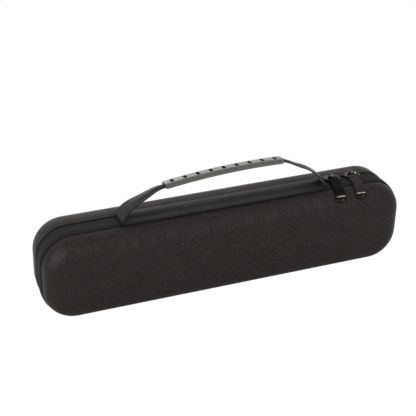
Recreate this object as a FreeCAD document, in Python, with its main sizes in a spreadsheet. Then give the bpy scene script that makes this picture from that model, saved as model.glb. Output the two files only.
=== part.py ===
import FreeCAD, Part
import Sketcher
import math
import os
import re

# Flute case: two moulded shells with a zip between them, a webbing handle and a foam tray.
# The case stands on its long fabric hinge. +X runs along it, +Z is up, and -Y is its front.
# The origin is the middle of the base.

doc = FreeCAD.newDocument("FluteCase")
subparts = []

# Driving sizes, in millimetres and degrees. Shares and counts have no unit.
SIZES = [
    # case and shells; depths are measured from the zip's middle plane
    ("case_length", 420), ("case_height", 99), ("front_depth", 41), ("back_depth", 35),
    ("corner_radius", 36), ("shell_inset", 1), ("shell_draft", 3), ("edge_radius", 19),
    ("shell_wall", 4.5), ("clearance", 0.3), ("match", 0.01),
    # fabric band between the front shell and the zip
    ("band_width", 21), ("gusset_thickness", 2), ("binding_width", 12), ("binding_thickness", 1),
    # zip tapes, coils and the fabric hinge that closes the ring along the base
    ("tape_width", 8), ("back_tape_width", 6), ("tape_thickness", 0.8), ("tape_sink", 0.6),
    ("slit_half_width", 0.75), ("coil_width", 2.5), ("coil_height", 2),
    ("hinge_end", 10), ("hinge_thickness", 1.4), ("hinge_slit", 0.15),
    # foam tray for the joints of the flute: one long row above two shorter ones
    ("tray_drop", 6), ("tray_end_margin", 27), ("tray_side_margin", 12.5), ("tray_row_wall", 5),
    ("tray_end_wall", 6), ("recess_depth", 24), ("body_row_share", 0.52),
    ("foot_recess_length", 134), ("recess_corner", 8), ("recess_floor_bevel", 3),
    ("finger_notch_radius", 13), ("finger_notch_depth", 15), ("finger_notch_spacing", 190),
    # lid pad and net pocket
    ("pad_thickness", 6), ("pocket_gap", 13), ("net_thickness", 0.8), ("pocket_top", 10),
    ("elastic_width", 10), ("elastic_thickness", 1.6),
    # zip sliders, parked between the handle and the corner
    ("slider_park", 5), ("slider_spacing", 25), ("slider_length", 18), ("slider_width", 12),
    ("slider_nose", 5), ("slider_nose_share", 0.5), ("slider_plate", 2.2), ("slider_bevel", 0.7),
    ("slider_inner_plate", 1.3), ("slider_inner_width", 10), ("neck_length", 5),
    ("neck_thickness", 0.9), ("neck_rounding", 0.3),
    ("staple_width", 3.4), ("staple_thickness", 1.3), ("staple_clear", 0.35),
    # webbing run along the top; its rear edge curls up
    ("webbing_width", 25.4), ("webbing_thickness", 1.8), ("webbing_overhang", 1.5),
    ("webbing_curl", 6.5), ("webbing_lift", 1.5), ("curl_share", 0.3), ("run_end", 3), ("run_gap", 3),
    # handle: straps and grip
    ("handle_lean", 15), ("strap_neck_width", 12),
    ("grip_length", 138), ("grip_width", 14.2), ("grip_thickness", 6.4), ("grip_radius", 840),
    ("grip_height", 34.1), ("grip_tilt", 2.7), ("grip_shift", 1.8), ("grip_rounding", 1.6),
    ("slot_length", 12), ("slot_width", 2), ("slot_depth", 1.3), ("slot_spacing", 15),
    ("slot_count", 9),
    # pulls: wire ring, ribbon and crimped end cap, all turned a little to the left
    ("pull_yaw", 8), ("wire_diameter", 1.6), ("wire_sides", 8), ("ring_radius", 7.5), ("ring_corner", 1.2),
    ("ribbon_width", 11), ("ribbon_thickness", 1.2), ("ribbon_slack", 0.1), ("ribbon_angle", 40),
    ("cap_angle", 16), ("cap_width", 11.6), ("cap_thickness", 3.4), ("cap_bevel", 0.8),
]

# How each strap rises to the grip: the poles of its curve as shares of its run and its rise.
STRAP_LEFT_SHARES = ((0, 0, 0.145, 0.45, 0.72, 0.86, 1), (0, 0.23, 0.43, 0.61, 0.85, 0.975, 1))
STRAP_RIGHT_SHARES = ((0, 0.02, 0.15, 0.38, 0.67, 0.84, 1), (0, 0.2, 0.42, 0.6, 0.79, 0.93, 1))
STRAP_SECTIONS = 13

sheet = doc.addObject("Spreadsheet::Sheet", "Sizes")
for row, (name, value) in enumerate(SIZES, start=1):
    sheet.set("A%d" % row, name)
    sheet.set("B%d" % row, str(value))
    sheet.setAlias("B%d" % row, name)
doc.recompute()


def size(expression):
    """The value of an expression written in the sheet's names."""
    return float(sheet.evalExpression(expression))


def bound(expression):
    """The same expression as another object of the document has to write it."""
    names = {name for name, value in SIZES}
    return re.sub("[a-z_]+", lambda word: "Sizes." * (word.group() in names) + word.group(), expression)


# Places that several pieces share, as expressions in the sheet's names.
HALF_HEIGHT = "(case_height / 2)"
COIL_Y = "((front_depth - back_depth) / 2)"
FRONT_FLOOR = "(front_depth - shell_wall)"
BACK_FLOOR = "(back_depth - shell_wall)"
CAVITY_INSET = "(shell_inset + shell_wall)"
CAVITY_RADIUS = "(edge_radius - shell_wall)"
COIL_INSET = "(tape_sink + tape_thickness)"
COIL_END = "(slit_half_width + coil_width)"
RIGHT_SLIDER = "(case_length / 2 - corner_radius - slider_park - slider_length / 2)"
LEFT_SLIDER = "(%s - slider_spacing)" % RIGHT_SLIDER
HANDLE_SPAN = "(2 * (%s - slider_length / 2 - run_gap - run_end))" % LEFT_SLIDER
HINGE_LENGTH = "(case_length - 2 * corner_radius - 2 * hinge_end)"
WEBBING_Y = "(webbing_width / 2 - band_width - webbing_overhang)"

vector = FreeCAD.Vector


# Building blocks

def new_body(label, x="0", y=COIL_Y, z=HALF_HEIGHT):
    """A body whose own origin stands at a place given by three expressions."""
    body = doc.addObject("PartDesign::Body", label)
    body.setExpression(".Placement.Base.x", bound(x))
    body.setExpression(".Placement.Base.y", bound(y))
    body.setExpression(".Placement.Base.z", bound(z))
    return body


def origin_part(body, role):
    """One plane or axis of the body's own origin."""
    return next(item for item in body.Origin.OriginFeatures if item.Role == role)


def new_sketch(body, name, role, lift="0", right="0", up="0"):
    """A sketch on a plane of the body's origin, moved along its normal and in its plane."""
    sketch = body.newObject("Sketcher::SketchObject", body.Label + "_" + name)
    sketch.AttachmentSupport = [(origin_part(body, role), "")]
    sketch.MapMode = "FlatFace"
    sketch.setExpression(".AttachmentOffset.Base.x", bound(right))
    sketch.setExpression(".AttachmentOffset.Base.y", bound(up))
    sketch.setExpression(".AttachmentOffset.Base.z", bound(lift))
    return sketch


def named(sketch, constraint, name, expression):
    """Adds a constraint and binds it to the sheet."""
    index = sketch.addConstraint(constraint)
    sketch.renameConstraint(index, name)
    sketch.setExpression("Constraints." + name, bound(expression))


def draw_rectangle(sketch, width, height):
    """A rectangle about the sketch's origin."""
    right = size(width) / 2
    top = size(height) / 2
    corners = [(-right, top), (right, top), (right, -top), (-right, -top)]
    for index, corner in enumerate(corners):
        following = corners[(index + 1) % 4]
        sketch.addGeometry(Part.LineSegment(vector(*corner, 0), vector(*following, 0)))
    for index in range(4):
        sketch.addConstraint(Sketcher.Constraint("Coincident", index, 2, (index + 1) % 4, 1))
    for index in (0, 2):
        sketch.addConstraint(Sketcher.Constraint("Horizontal", index))
        sketch.addConstraint(Sketcher.Constraint("Vertical", index + 1))
    sketch.addConstraint(Sketcher.Constraint("Symmetric", 0, 1, 2, 1, -1, 1))
    named(sketch, Sketcher.Constraint("DistanceX", 0, 1, 0, 2, 2 * right), "width", width)
    named(sketch, Sketcher.Constraint("DistanceY", 1, 2, 1, 1, 2 * top), "height", height)


def draw_rounded_rectangle(sketch, width, height, radius, tag=""):
    """A rectangle about the sketch's origin, with round corners tangent to its sides."""
    right = size(width) / 2
    top = size(height) / 2
    corner = size(radius)
    x = right - corner
    y = top - corner
    normal = vector(0, 0, 1)
    first = sketch.GeometryCount
    runs = [
        ((-x, top), (x, top)), ((right, y), (right, -y)),
        ((x, -top), (-x, -top)), ((-right, -y), (-right, y)),
    ]
    for start, end in runs:
        sketch.addGeometry(Part.LineSegment(vector(*start, 0), vector(*end, 0)))
    for turn, centre in enumerate([(x, y), (-x, y), (-x, -y), (x, -y)]):
        circle = Part.Circle(vector(*centre, 0), normal, corner)
        sketch.addGeometry(Part.ArcOfCircle(circle, turn * math.pi / 2, (turn + 1) * math.pi / 2))
    top_line, right_line, bottom_line, left_line = range(first, first + 4)
    top_right, top_left, bottom_left, bottom_right = range(first + 4, first + 8)
    start, end = 1, 2
    meetings = [
        (top_line, end, top_right, end), (right_line, start, top_right, start),
        (right_line, end, bottom_right, end), (bottom_line, start, bottom_right, start),
        (bottom_line, end, bottom_left, end), (left_line, start, bottom_left, start),
        (left_line, end, top_left, end), (top_line, start, top_left, start),
    ]
    for meeting in meetings:
        sketch.addConstraint(Sketcher.Constraint("Tangent", *meeting))
    for line in (top_line, bottom_line):
        sketch.addConstraint(Sketcher.Constraint("Horizontal", line))
    for line in (right_line, left_line):
        sketch.addConstraint(Sketcher.Constraint("Vertical", line))
    for arc in (top_left, bottom_left, bottom_right):
        sketch.addConstraint(Sketcher.Constraint("Equal", top_right, arc))
    sketch.addConstraint(Sketcher.Constraint("Symmetric", top_line, start, bottom_line, start, -1, 1))
    named(sketch, Sketcher.Constraint("Radius", top_right, corner), "radius" + tag, radius)
    across = Sketcher.Constraint("DistanceX", left_line, start, right_line, start, 2 * right)
    named(sketch, across, "width" + tag, width)
    along = Sketcher.Constraint("DistanceY", bottom_line, start, top_line, start, 2 * top)
    named(sketch, along, "height" + tag, height)


def draw_outline(sketch, inset, tag=""):
    """The case's outline, drawn in by an inset."""
    length = "case_length - 2 * %s" % inset
    height = "case_height - 2 * %s" % inset
    draw_rounded_rectangle(sketch, length, height, "corner_radius - %s" % inset, tag)


def draw_circle(sketch, radius):
    """A circle about the sketch's origin."""
    sketch.addGeometry(Part.Circle(vector(0, 0, 0), vector(0, 0, 1), size(radius)))
    sketch.addConstraint(Sketcher.Constraint("Coincident", 0, 3, -1, 1))
    named(sketch, Sketcher.Constraint("Radius", 0, size(radius)), "radius", radius)


def extrude(body, kind, sketch, length, draft=None, backwards=False, midplane=False):
    """A pad or pocket of a sketch. A draft narrows it as it goes."""
    feature = body.newObject("PartDesign::" + kind, sketch.Label + "_" + kind.lower())
    feature.Profile = sketch
    feature.setExpression("Length", bound(length))
    if draft:
        feature.setExpression("TaperAngle", bound("0 - " + draft))
    feature.Reversed = backwards
    feature.Midplane = midplane
    body.Tip = feature
    doc.recompute()
    return feature


def edges_on(feature, axis, place):
    """Names of the edges that lie in the plane where an axis has one value."""
    low = ("XMin", "YMin", "ZMin")[axis]
    high = ("XMax", "YMax", "ZMax")[axis]
    reach = size("match")
    names = []
    for number, edge in enumerate(feature.Shape.Edges, start=1):
        box = edge.BoundBox
        if abs(getattr(box, low) - place) < reach and abs(getattr(box, high) - place) < reach:
            names.append("Edge%d" % number)
    return names


def soften(body, kind, feature, names, amount):
    """A fillet or chamfer on named edges of the body's last feature."""
    softened = body.newObject("PartDesign::" + kind, feature.Label + "_" + kind.lower())
    softened.Base = (feature, names)
    softened.setExpression("Radius" if kind == "Fillet" else "Size", bound(amount))
    body.Tip = softened
    doc.recompute()
    return softened


def tray_block(label, side, rim, rim_inset, floor, floor_radius):
    """A block with drafted sides and a round edge, from the rim plane in to the floor.

    side is -1 for the front half and 1 for the back half.
    """
    body = new_body(label)
    outline = new_sketch(body, "outline", "XZ_Plane", "%d * %s" % (-side, rim))
    draw_outline(outline, rim_inset)
    block = extrude(body, "Pad", outline, "%s - %s" % (floor, rim), "shell_draft", side > 0)
    soften(body, "Fillet", block, edges_on(block, 1, side * size(floor)), floor_radius)
    return body


def ring(label, outer_inset, inner_inset, near, far, side):
    """A band round the case between two insets, from one depth to another."""
    body = new_body(label)
    outline = new_sketch(body, "outline", "XZ_Plane", "%d * %s" % (-side, near))
    draw_outline(outline, outer_inset, "_outer")
    draw_outline(outline, inner_inset, "_inner")
    extrude(body, "Pad", outline, "%s - %s" % (far, near), None, side > 0)
    return body


def cut_spine(body, side, near, far):
    """Takes out the stretch of a band where the fabric hinge runs along the base."""
    gap = new_sketch(body, "hinge_gap", "XZ_Plane", "%d * %s" % (-side, near), "0", "0 - " + HALF_HEIGHT)
    draw_rectangle(gap, HINGE_LENGTH, "corner_radius")
    extrude(body, "Pocket", gap, "%s - %s" % (far, near), None, side < 0)


# Shells: moulded foam with fabric laid on both faces, open towards the zip.

for label, side, rim, depth, floor in (
        ("front_shell", -1, "band_width", "front_depth", FRONT_FLOOR),
        ("back_shell", 1, "back_tape_width", "back_depth", BACK_FLOOR)):
    shell = doc.addObject("Part::Cut", label)
    shell.Base = tray_block(label + "_outside", side, rim, "shell_inset", depth, "edge_radius")
    shell.Tool = tray_block(label + "_hollow", side, rim, CAVITY_INSET, floor, CAVITY_RADIUS)
    subparts.append(shell)

# Band, seam bindings, zip tapes and zip coils that go round the case

subparts.append(ring("front_gusset", "0", "gusset_thickness", "tape_width", "band_width", -1))
subparts.append(ring(
    "front_binding", "gusset_thickness", "(gusset_thickness + binding_thickness)",
    "(band_width - binding_width)", "band_width", -1))
subparts.append(ring(
    "back_binding", COIL_INSET, "(%s + binding_thickness)" % COIL_INSET,
    "(%s + clearance)" % COIL_END, "back_tape_width", 1))
for half, side, tape_end in (("front", -1, "tape_width"), ("back", 1, "back_tape_width")):
    tape = ring(half + "_zip_tape", "tape_sink", COIL_INSET, "slit_half_width", tape_end, side)
    cut_spine(tape, side, "slit_half_width", tape_end)
    subparts.append(tape)
    coil_inner = "(%s + coil_height)" % COIL_INSET
    coil = ring(half + "_zip_coil", COIL_INSET, coil_inner, "slit_half_width", COIL_END, side)
    cut_spine(coil, side, "slit_half_width", COIL_END)
    subparts.append(coil)

    # fabric hinge along the base, one leaf on each half
    leaf = new_body("spine_hinge_" + half)
    leaf_place = "(hinge_thickness - case_height) / 2"
    leaf_sketch = new_sketch(leaf, "leaf", "XZ_Plane", "%d * hinge_slit" % -side, "0", leaf_place)
    draw_rectangle(leaf_sketch, HINGE_LENGTH, "hinge_thickness")
    extrude(leaf, "Pad", leaf_sketch, tape_end + " - hinge_slit", None, side > 0)
    subparts.append(leaf)

# Foam tray in the front half, with a recess for each joint of the flute

TRAY_INSET = "(%s + clearance - (band_width - tray_drop) * tan(shell_draft))" % CAVITY_INSET
FOAM_RADIUS = "(%s - clearance)" % CAVITY_RADIUS
flute_tray = tray_block("flute_tray", -1, "tray_drop", TRAY_INSET, FRONT_FLOOR, FOAM_RADIUS)
subparts.append(flute_tray)

ROW_LENGTH = "(case_length - 2 * tray_end_margin)"
ROWS_HEIGHT = "(case_height - 2 * tray_side_margin)"
BODY_HEIGHT = "((%s - tray_row_wall) * body_row_share)" % ROWS_HEIGHT
SIDE_HEIGHT = "(%s - tray_row_wall - %s)" % (ROWS_HEIGHT, BODY_HEIGHT)
BODY_UP = "((%s - %s) / 2)" % (ROWS_HEIGHT, BODY_HEIGHT)
SIDE_UP = "((%s - %s) / 2)" % (SIDE_HEIGHT, ROWS_HEIGHT)
HEAD_LENGTH = "(%s - tray_end_wall - foot_recess_length)" % ROW_LENGTH
HEAD_RIGHT = "((%s - %s) / 2)" % (HEAD_LENGTH, ROW_LENGTH)
FOOT_RIGHT = "((%s - foot_recess_length) / 2)" % ROW_LENGTH
for name, length, height, right, up in (
        ("body_recess", ROW_LENGTH, BODY_HEIGHT, "0", BODY_UP),
        ("head_recess", HEAD_LENGTH, SIDE_HEIGHT, HEAD_RIGHT, SIDE_UP),
        ("foot_recess", "foot_recess_length", SIDE_HEIGHT, FOOT_RIGHT, SIDE_UP)):
    recess = new_sketch(flute_tray, name, "XZ_Plane", "tray_drop", right, up)
    draw_rounded_rectangle(recess, length, height, "recess_corner")
    pocket = extrude(flute_tray, "Pocket", recess, "recess_depth", None, True)
floor_edges = edges_on(pocket, 1, -size("tray_drop + recess_depth"))
soften(flute_tray, "Chamfer", pocket, floor_edges, "recess_floor_bevel")
wall_middle = "%s + tray_row_wall / 2 - %s / 2" % (SIDE_HEIGHT, ROWS_HEIGHT)
for name, way in (("left_notch", -1), ("right_notch", 1)):
    notch_right = "%d * finger_notch_spacing / 2" % way
    notch = new_sketch(flute_tray, name, "XZ_Plane", "tray_drop", notch_right, wall_middle)
    draw_circle(notch, "finger_notch_radius")
    extrude(flute_tray, "Pocket", notch, "finger_notch_depth", None, True)

# Foam pad and net pocket in the lid

PAD_INSET = "(%s + clearance)" % CAVITY_INSET
lid_pad = tray_block("lid_pad", 1, "back_tape_width", PAD_INSET, BACK_FLOOR, FOAM_RADIUS)
pad_front = new_sketch(lid_pad, "front", "XZ_Plane", "0 - back_tape_width")
draw_rectangle(pad_front, "case_length", "case_height")
extrude(lid_pad, "Pocket", pad_front, "%s - pad_thickness - back_tape_width" % BACK_FLOOR)
subparts.append(lid_pad)

NET_PLACE = "(%s - pad_thickness - pocket_gap)" % BACK_FLOOR
NET_INSET = "(%s + clearance + (%s - back_tape_width) * tan(shell_draft))" % (CAVITY_INSET, NET_PLACE)
mesh_pocket = new_body("mesh_pocket")
net = new_sketch(mesh_pocket, "net", "XZ_Plane", "0 - " + NET_PLACE)
draw_outline(net, NET_INSET)
extrude(mesh_pocket, "Pad", net, "net_thickness", "shell_draft", True)
above_net = "pocket_top + case_height / 2"
mouth = new_sketch(mesh_pocket, "mouth", "XZ_Plane", "0 - " + NET_PLACE, "0", above_net)
draw_rectangle(mouth, "case_length", "case_height")
extrude(mesh_pocket, "Pocket", mouth, "net_thickness")
subparts.append(mesh_pocket)

pocket_elastic = new_body("pocket_elastic")
elastic_place = "(elastic_thickness - net_thickness) / 2 - " + NET_PLACE
elastic_up = "pocket_top + elastic_width / 2"
strip = new_sketch(pocket_elastic, "strip", "XZ_Plane", elastic_place, "0", elastic_up)
ELASTIC_INSET = "(%s + elastic_thickness * tan(shell_draft) + 3 * clearance)" % NET_INSET
draw_rectangle(strip, "case_length - 2 * %s" % ELASTIC_INSET, "elastic_width")
extrude(pocket_elastic, "Pad", strip, "elastic_thickness", None, True)
subparts.append(pocket_elastic)

# Webbing run sewn along the top, its rear edge curling up over the zip

handle_run = new_body("handle_run", "0", "%s + %s" % (COIL_Y, WEBBING_Y), "case_height")
run_profile = new_sketch(handle_run, "profile", "YZ_Plane")
rear = size("webbing_width / 2")
bend = rear - size("webbing_curl")
thick = size("webbing_thickness")
lift = size("webbing_lift")
middle = (bend + rear) / 2
middle_lift = lift * size("curl_share")
run_profile.addGeometry(Part.LineSegment(vector(-rear, 0, 0), vector(bend, 0, 0)))
run_profile.addGeometry(Part.Arc(vector(bend, 0, 0), vector(middle, middle_lift, 0), vector(rear, lift, 0)))
run_profile.addGeometry(Part.LineSegment(vector(rear, lift, 0), vector(rear, thick + lift, 0)))
upper_curl = Part.Arc(
    vector(bend, thick, 0), vector(middle, thick + middle_lift, 0), vector(rear, thick + lift, 0))
run_profile.addGeometry(upper_curl)
run_profile.addGeometry(Part.LineSegment(vector(bend, thick, 0), vector(-rear, thick, 0)))
run_profile.addGeometry(Part.LineSegment(vector(-rear, thick, 0), vector(-rear, 0, 0)))
extrude(handle_run, "Pad", run_profile, "%s + 2 * run_end" % HANDLE_SPAN, None, False, True)
subparts.append(handle_run)

# Handle straps: each rises from an end of the run, narrows and leans back into the grip.
# They are drawn about the middle of the run's top. Heights are measured along the lean.

lean = math.radians(size("handle_lean"))
handle_foot = vector(0, size("%s + %s" % (COIL_Y, WEBBING_Y)), size("case_height + webbing_thickness"))


def strap_section(across, place, direction, width):
    """A flat rectangle of webbing square to the strap's way, as a closed wire."""
    side = direction.cross(across).normalize() * size("webbing_thickness / 2")
    half = across * (width / 2)
    corners = [place + half + side, place + half - side, place - half - side, place - half + side]
    return Part.makePolygon(corners + corners[:1])


def strap(label, way, rise, run_shares, rise_shares):
    """Webbing lofted along a curve that rises from the run and ends in line with the grip."""
    reach = size("(%s - grip_length) / 2 - clearance" % HANDLE_SPAN) - way * size("grip_shift")
    foot = size("webbing_lift + clearance")
    poles = []
    for run, up in zip(run_shares, rise_shares):
        x = way * (size("%s / 2" % HANDLE_SPAN) - reach * run)
        poles.append(vector(x, rise * up * math.sin(lean), foot + (rise * math.cos(lean) - foot) * up))
    line = Part.BSplineCurve()
    line.buildFromPoles(poles)
    wires = []
    for number in range(STRAP_SECTIONS):
        share = number / (STRAP_SECTIONS - 1)
        across = vector(0, math.cos(lean * share), -math.sin(lean * share))
        width = size("webbing_width") + size("strap_neck_width - webbing_width") * share
        wires.append(strap_section(across, line.value(share), line.tangent(share)[0], width))
    item = doc.addObject("Part::Feature", label)
    item.Shape = Part.makeLoft(wires, True, True)
    item.Placement = FreeCAD.Placement(handle_foot, FreeCAD.Rotation())
    subparts.append(item)


GRIP_SAG = "(grip_radius - sqrt(grip_radius ^ 2 - grip_length ^ 2 / 4))"
GRIP_END = "grip_height - %s %s grip_length / 2 * tan(grip_tilt)"
strap("handle_strap_left", -1, size(GRIP_END % (GRIP_SAG, "-")), *STRAP_LEFT_SHARES)
strap("handle_strap_right", 1, size(GRIP_END % (GRIP_SAG, "+")), *STRAP_RIGHT_SHARES)

# Grip: a moulded bar on a shallow arc, with cross slots along its top.
# Its own origin is the centre of that arc, so the slots are a polar pattern.

handle_grip = doc.addObject("PartDesign::Body", "handle_grip")
section = new_sketch(handle_grip, "section", "YZ_Plane", "0", "0", "grip_radius")
draw_rounded_rectangle(section, "grip_width", "grip_thickness", "grip_rounding")
grip_bar = handle_grip.newObject("PartDesign::Revolution", "handle_grip_bar")
grip_bar.Profile = section
grip_bar.ReferenceAxis = (origin_part(handle_grip, "Y_Axis"), [""])
grip_bar.setExpression("Angle", bound("2 * asin(grip_length / 2 / grip_radius)"))
grip_bar.Midplane = True
slot = new_sketch(handle_grip, "slot", "XY_Plane", "grip_radius + grip_thickness / 2 - slot_depth")
draw_rectangle(slot, "slot_width", "slot_length")
first_slot = extrude(handle_grip, "Pocket", slot, "2 * slot_depth", None, True)
for name, backwards in (("slots_right", False), ("slots_left", True)):
    pattern = handle_grip.newObject("PartDesign::PolarPattern", "grip_" + name)
    pattern.Originals = [first_slot]
    pattern.Axis = (origin_part(handle_grip, "Y_Axis"), [""])
    pattern.Mode = "Spacing"
    pattern.setExpression("Offset", bound("slot_spacing / grip_radius * 180 / pi"))
    pattern.setExpression("Occurrences", bound("(slot_count + 1) / 2"))
    pattern.Reversed = backwards
    handle_grip.Tip = pattern
    doc.recompute()
lean_turn = FreeCAD.Rotation(vector(1, 0, 0), -size("handle_lean"))
tilt_turn = FreeCAD.Rotation(vector(0, 1, 0), -size("grip_tilt"))
grip_top = vector(size("grip_shift"), 0, size("grip_height"))
arc_centre = grip_top - tilt_turn.multVec(vector(0, 0, size("grip_radius")))
handle_grip.Placement = FreeCAD.Placement(
    handle_foot + lean_turn.multVec(arc_centre), lean_turn.multiply(tilt_turn))
subparts.append(handle_grip)

# Zip sliders: an outer plate with a staple, a neck through the slit and an inner plate.
# A slider's own origin is on the zip's middle plane, on the outside of the case.

PLATE_LOW = "(clearance - tape_sink)"
PLATE_TOP = "(%s + slider_plate)" % PLATE_LOW
RING_HEIGHT = "(%s + staple_clear + wire_diameter / 2)" % PLATE_TOP
STAPLE_TOP = "(%s + 2 * staple_clear + wire_diameter + staple_thickness)" % PLATE_TOP
INNER_TOP = "(0 - %s - coil_height - clearance)" % COIL_INSET
SLIDER_X = {-1: LEFT_SLIDER, 1: RIGHT_SLIDER}


def draw_slider_plate(sketch, length, width, way):
    """A slider's outline: straight sides, a round tail, and a blunt nose on the way it closes."""
    half_length = size(length) / 2
    half_width = size(width) / 2
    nose = size("slider_nose")
    nose_half = half_width * size("slider_nose_share")
    shoulder = half_length - nose
    tail = half_width - half_length
    middle = tail - half_width * math.sqrt(0.5)
    bow = half_width * math.sqrt(0.5)
    places = {
        "tail_top": (tail, half_width), "side_top": (shoulder, half_width),
        "nose_top": (half_length, nose_half), "nose_low": (half_length, -nose_half),
        "side_low": (shoulder, -half_width), "tail_low": (tail, -half_width), "tail_end": (-half_length, 0),
        "bow_low": (middle, -bow), "bow_top": (middle, bow),
    }
    at = {name: vector(way * x, y, 0) for name, (x, y) in places.items()}
    for start, end in (
            ("tail_top", "side_top"), ("side_top", "nose_top"), ("nose_top", "nose_low"),
            ("nose_low", "side_low"), ("side_low", "tail_low")):
        sketch.addGeometry(Part.LineSegment(at[start], at[end]))
    sketch.addGeometry(Part.Arc(at["tail_low"], at["bow_low"], at["tail_end"]))
    sketch.addGeometry(Part.Arc(at["tail_end"], at["bow_top"], at["tail_top"]))


def draw_staple(sketch):
    """An arch with a round-topped hole for the ring's wire."""
    hole = size("wire_diameter / 2 + 2 * staple_clear")
    leg = hole + size("staple_thickness")
    low = size("%s - slider_bevel" % PLATE_TOP)
    arch = size(STAPLE_TOP) - leg
    for half_width, way in ((leg, 1), (hole, -1)):
        near = vector(-way * half_width, arch, 0)
        far = vector(way * half_width, arch, 0)
        sketch.addGeometry(Part.LineSegment(vector(near.x, low, 0), near))
        sketch.addGeometry(Part.Arc(near, vector(0, arch + half_width, 0), far))
        sketch.addGeometry(Part.LineSegment(far, vector(far.x, low, 0)))
    for way in (-1, 1):
        sketch.addGeometry(Part.LineSegment(vector(way * hole, low, 0), vector(way * leg, low, 0)))


def zip_slider(label, hand):
    """hand is -1 for the left slider and 1 for the right one; they close towards each other."""
    body = new_body(label, SLIDER_X[hand], COIL_Y, "case_height")
    plate = new_sketch(body, "plate", "XY_Plane", PLATE_LOW)
    draw_slider_plate(plate, "slider_length", "slider_width", -hand)
    outer = extrude(body, "Pad", plate, "slider_plate")
    soften(body, "Chamfer", outer, edges_on(outer, 2, size(PLATE_TOP)), "slider_bevel")
    neck = new_sketch(body, "neck", "XY_Plane", PLATE_LOW, "%d * (slider_length - neck_length) / 2" % -hand)
    draw_rounded_rectangle(neck, "neck_length", "neck_thickness", "neck_rounding")
    extrude(body, "Pad", neck, "%s - %s" % (PLATE_LOW, INNER_TOP), None, True)
    inner = new_sketch(body, "inner_plate", "XY_Plane", INNER_TOP)
    draw_slider_plate(inner, "slider_length", "slider_inner_width", -hand)
    extrude(body, "Pad", inner, "slider_inner_plate", None, True)
    staple = new_sketch(body, "staple", "YZ_Plane")
    draw_staple(staple)
    extrude(body, "Pad", staple, "staple_width", None, False, True)
    subparts.append(body)


zip_slider("slider_left", -1)
zip_slider("slider_right", 1)

# Pulls: a wire ring through the staple, a ribbon folded round its straight side, and a cap.
# Each is drawn about the point of its slider where the zip's plane meets the case's top.

RING_REACH = "(ring_radius + ring_corner)"
pull_turn = FreeCAD.Rotation(vector(0, 0, 1), -size("pull_yaw"))


def place_pull(item, hand, height):
    """Puts a piece of a pull on its slider, turned to the left."""
    x = size(SLIDER_X[hand])
    item.Placement = FreeCAD.Placement(vector(x, size(COIL_Y), size("case_height") + height), pull_turn)


def pull_ring(label, hand):
    """A D-shaped wire ring. The middle of its round side lies in the slider's staple."""
    body = doc.addObject("PartDesign::Body", label)
    line = new_sketch(body, "line", "XY_Plane")
    radius = size("ring_radius")
    corner = size("ring_corner")
    flat = radius - corner
    reach = size(RING_REACH)
    bow = corner * math.sqrt(0.5)
    line.addGeometry(Part.Arc(vector(radius, -radius, 0), vector(0, 0, 0), vector(-radius, -radius, 0)))
    line.addGeometry(Part.Arc(
        vector(-radius, -radius, 0), vector(-flat - bow, -radius - bow, 0), vector(-flat, -reach, 0)))
    line.addGeometry(Part.LineSegment(vector(-flat, -reach, 0), vector(flat, -reach, 0)))
    line.addGeometry(Part.Arc(
        vector(flat, -reach, 0), vector(flat + bow, -radius - bow, 0), vector(radius, -radius, 0)))
    wire = new_sketch(body, "wire", "YZ_Plane")
    sides = int(size("wire_sides"))
    points = []
    for number in range(sides + 1):
        angle = math.pi * (2 * number + 1) / sides
        points.append(vector(math.cos(angle), math.sin(angle), 0) * size("wire_diameter / 2"))
    for start, end in zip(points, points[1:]):
        wire.addGeometry(Part.LineSegment(start, end))
    pipe = body.newObject("PartDesign::AdditivePipe", label + "_pipe")
    pipe.Profile = wire
    pipe.Spine = line
    body.Tip = pipe
    doc.recompute()
    place_pull(body, hand, size(RING_HEIGHT))
    subparts.append(body)


# The ribbon's line, in the plane square to the zip: from the ring's bar straight to a round
# about the front shell's edge, then along that round to the cap.

draft = math.radians(size("shell_draft"))
edge_y = -size("front_depth - edge_radius")
side_drop = size("front_depth - edge_radius - band_width") * math.tan(draft)
edge_drop = size("shell_inset") + side_drop + size("edge_radius") / math.cos(draft)
edge_centre = vector(0, edge_y, -edge_drop)
ribbon_radius = size("edge_radius + shell_inset + ribbon_thickness + 2 * clearance")
bar_place = vector(0, -size(RING_REACH), size(RING_HEIGHT))
to_bar = bar_place - edge_centre
touch_angle = math.acos(ribbon_radius / to_bar.Length) - math.atan2(to_bar.y, to_bar.z)
ribbon_end = math.radians(size("ribbon_angle"))


def round_strip(width, thickness, start, end):
    """A flat strip that lies on the round, from one angle forward of straight up to another."""
    x = width / 2
    low = ribbon_radius - thickness / 2
    high = ribbon_radius + thickness / 2
    places = ((-x, 0, low), (x, 0, low), (x, 0, high), (-x, 0, high))
    corners = [edge_centre + vector(*place) for place in places]
    section = Part.Face(Part.makePolygon(corners + corners[:1]))
    section.rotate(edge_centre, vector(1, 0, 0), math.degrees(start))
    return section.revolve(edge_centre, vector(1, 0, 0), math.degrees(end - start))


def pull_ribbon(label, hand):
    """Ribbon doubled over the ring's bar and sewn flat down to the cap."""
    layer = size("ribbon_thickness")
    hole = size("wire_diameter / 2 + ribbon_slack")
    width = size("ribbon_width")
    left = vector(-width / 2, 0, 0)
    axis = vector(1, 0, 0)
    touch = edge_centre + vector(0, -math.sin(touch_angle), math.cos(touch_angle)) * ribbon_radius
    way = (touch - bar_place).normalize()
    side = way.cross(axis) * layer
    corners = [bar_place + side, touch + side, touch - side, bar_place - side, bar_place + side]
    straight = Part.Face(Part.makePolygon([corner + left for corner in corners]))
    solid = straight.extrude(axis * width)
    solid = solid.fuse(round_strip(width, 2 * layer, touch_angle, ribbon_end))
    solid = solid.fuse(Part.makeCylinder(hole + layer, width, bar_place + left, axis))
    solid = solid.cut(Part.makeCylinder(hole, width, bar_place + left, axis))
    item = doc.addObject("Part::Feature", label)
    item.Shape = solid.removeSplitter()
    place_pull(item, hand, 0)
    subparts.append(item)


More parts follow.
